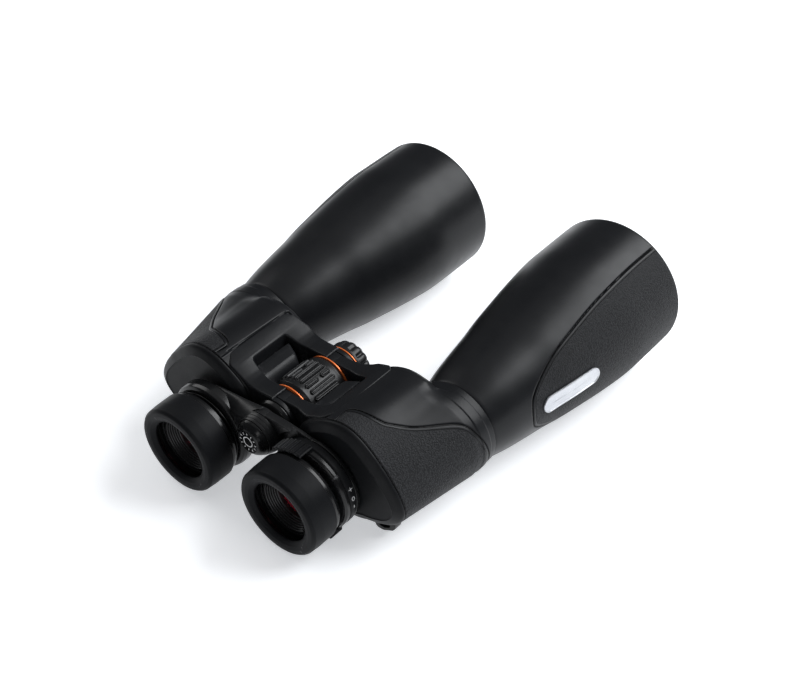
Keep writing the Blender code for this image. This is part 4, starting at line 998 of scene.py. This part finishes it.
# =============================================================================== eyepieces
for name, side, bar in (("left", -1, "bridge"), ("right", 1, "right_eyepiece")):
    axis = (side * EYE_X, EYE_Z)
    seat = [(21.2, 21.62, 0.2), (21.2, 22.18, 0.2)] if side < 0 else []
    body_pts = [(16.0, 7.65, 0.2), (16.0, 21.5)] + seat + [(16.3, 22.3), (16.3, 44.4), (12.6, 44.4), (12.6, 17.6), (10.95, 17.5), (10.95, 12.6, 0.1)]
    # fine steps down to the lens, like a coarse thread
    n = 6
    for k in range(n):
        r = 11.3 + (14.9 - 11.3) * k / (n - 1)
        y = 12.3 - (12.3 - 7.9) * k / (n - 1)
        body_pts += [(r, y, 0.06), (r + 0.34, y - 0.05, 0.08), (r + 0.42, y - 0.62, 0.06)]
    body_pts += [(15.4, 7.65, 0.1)]
    place(revolve(f"{name}_ocular", body_pts, axis, [ANODISED, THREAD], 160, True, 4, None, lambda r, y, t: ((y < 12.7) & (r < 15.3)).astype(int)), bar, [f"{name}_eyepiece_body"])
    place(solid_revolve(f"{name}_ocular_lens", [(0, 13.0)] + [(r, 13.0 + 1.35 * (r / 10.5) ** 2) for r in np.linspace(1, 10.4, 14)] +
                        [(10.5, 14.6, 0.1), (10.5, 17.0, 0.2), (0, 17.2)], axis, EYE_GLASS, 120, sharp=40), bar, [f"{name}_eye_lens"])
    place(solid_revolve(f"{name}_field_group", [(0, 33.6)] + [(r, 33.6 + 1.4 * (r / 12.2) ** 2) for r in np.linspace(1, 12.1, 12)] +
                        [(12.2, 35.1, 0.1), (12.2, 37.9, 0.1)] + [(r, 39.4 - 1.4 * (r / 12.2) ** 2) for r in np.linspace(12.1, 1, 12)] + [(0, 39.4)],
                        axis, PRISM_GLASS, 96, sharp=40), bar, [f"{name}_field_lens"])
    end = 21.2 if side < 0 else 20.4
    place(revolve(f"{name}_twist_sleeve", [(16.4, 7.4, 0.2), (18.0, 7.4, 0.3), (18.0, end, 0.3), (16.4, end, 0.2)], axis, GLOSS, 160), f"{name}_eyecup_sleeve",
          [f"{name}_eyecup_sleeve"])
    cup_pts = [(17.2, 1.35, 1.2), (18.6, 0.35, 1.2), (20.5, 0.0, 1.5), (22.9, 0.1, 1.5), (24.05, 1.5, 1.2), (24.45, 7.0, 3), (24.5, 15.7, 0.35), (23.9, 16.1, 0.15), (23.6, 16.15, 0.1), (23.55, 17.6, 0.3), (23.2, 19.15, 0.4),
               (18.65, 19.2, 0.3), (18.65, 4.2, 0.5), (16.4, 3.0, 0.5), (16.4, 2.1, 0.4)]
    place(revolve(f"{name}_cup", cup_pts, axis, [CUP, GLOSS], 220, True, 8, None, lambda r, y, t: (y > 16.1).astype(int)), f"{name}_eyecup", [f"{name}_eyecup"])

# =============================================================================== CAD nodes kept as they are
CARRIED = {
    "hinge_axle": STEEL, "focus_rod": STEEL, "focus_drive_pin": STEEL, "focus_drive_nut": BRASS, "tripod_bushing": BRASS,
}
for n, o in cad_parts.items():
    mat = CARRIED.get(n)
    if n.endswith("prism_shelf"):
        mat = ANODISED
    if "porro_prism" in n:
        mat = PRISM_GLASS
    if mat:
        o.data.materials.clear()
        o.data.materials.append(mat)

# =============================================================================== floor, light, camera
floor_mat, tree, bsdf = nt("studio_floor")
paper = noise(tree, coords(tree), 3.0, 5.0)
tree.links.new(mix(tree, paper, (0.925, 0.93, 0.94), (0.94, 0.942, 0.948)), bsdf.inputs["Base Color"])
bsdf.inputs["Roughness"].default_value = 0.9
bsdf.inputs["Specular IOR Level"].default_value = 0.1
bsdf.inputs["Emission Color"].default_value = (0.95, 0.97, 1.0, 1)
bsdf.inputs["Emission Strength"].default_value = 0.50
bpy.ops.mesh.primitive_plane_add(size=30.0, location=(0, 0, -0.0002))
floor = bpy.context.object
floor.name = "floor"
floor.data.materials.append(floor_mat)

wd = bpy.data.worlds.new("studio")
bpy.context.scene.world = wd
wd.use_nodes = True
wd.node_tree.nodes["Background"].inputs["Color"].default_value = (0.90, 0.94, 1.0, 1)
wd.node_tree.nodes["Background"].inputs["Strength"].default_value = 0.10
bpy.context.scene.view_settings.view_transform = "Standard"


def area(name, location, target, size, power, colour=(1, 1, 1)):
    light = bpy.data.lights.new(name, "AREA")
    light.shape = "RECTANGLE"
    light.size, light.size_y = size
    light.energy = power
    light.color = colour
    obj = bpy.data.objects.new(name, light)
    bpy.context.scene.collection.objects.link(obj)
    obj.location = location
    obj.rotation_mode = "QUATERNION"
    obj.rotation_quaternion = (Vector(target) - Vector(location)).to_track_quat("-Z", "Y")
    return obj


area("key_box", (0.76, 1.09, 1.37), (0, 0, 0.04), (1.5, 1.15), 43.0, (0.96, 0.98, 1.0))
area("overhead", (0.0, 0.15, 2.3), (0, 0.1, 0), (2.6, 2.2), 8.0, (1.0, 1.0, 1.0))
area("left_box", (-1.5, 0.0, 1.1), (0, 0, 0.03), (0.5, 1.4), 6.0, (1.0, 1.0, 1.0))
area("near_box", (0.75, -1.45, 0.75), (0, -0.06, 0.05), (0.35, 0.9), 2.5, (1.0, 1.0, 1.0))

cam_data = bpy.data.cameras.new("camera")
cam = bpy.data.objects.new("camera", cam_data)
bpy.context.scene.collection.objects.link(cam)
bpy.context.scene.camera = cam
cam_data.sensor_width = 36.0
cam_data.lens = 64.04
cam_data.clip_start, cam_data.clip_end = 0.01, 50.0
pos = world @ Vector((379.5, -301.3, 467.3))
right = Vector((0.7660, 0.6420, -0.0330)).normalized()
back = Vector((0.5087, -0.5740, 0.6417))
back = (back - right * back.dot(right)).normalized()
up = back.cross(right)
turn = Matrix.Rotation(PITCH, 3, "X")
axes = [turn @ v for v in (right, up, back)]
m = Matrix.Identity(4)
for k, v in enumerate(axes):
    m[0][k], m[1][k], m[2][k] = v
m[0][3], m[1][3], m[2][3] = pos
cam.matrix_world = m

bpy.context.view_layer.update()
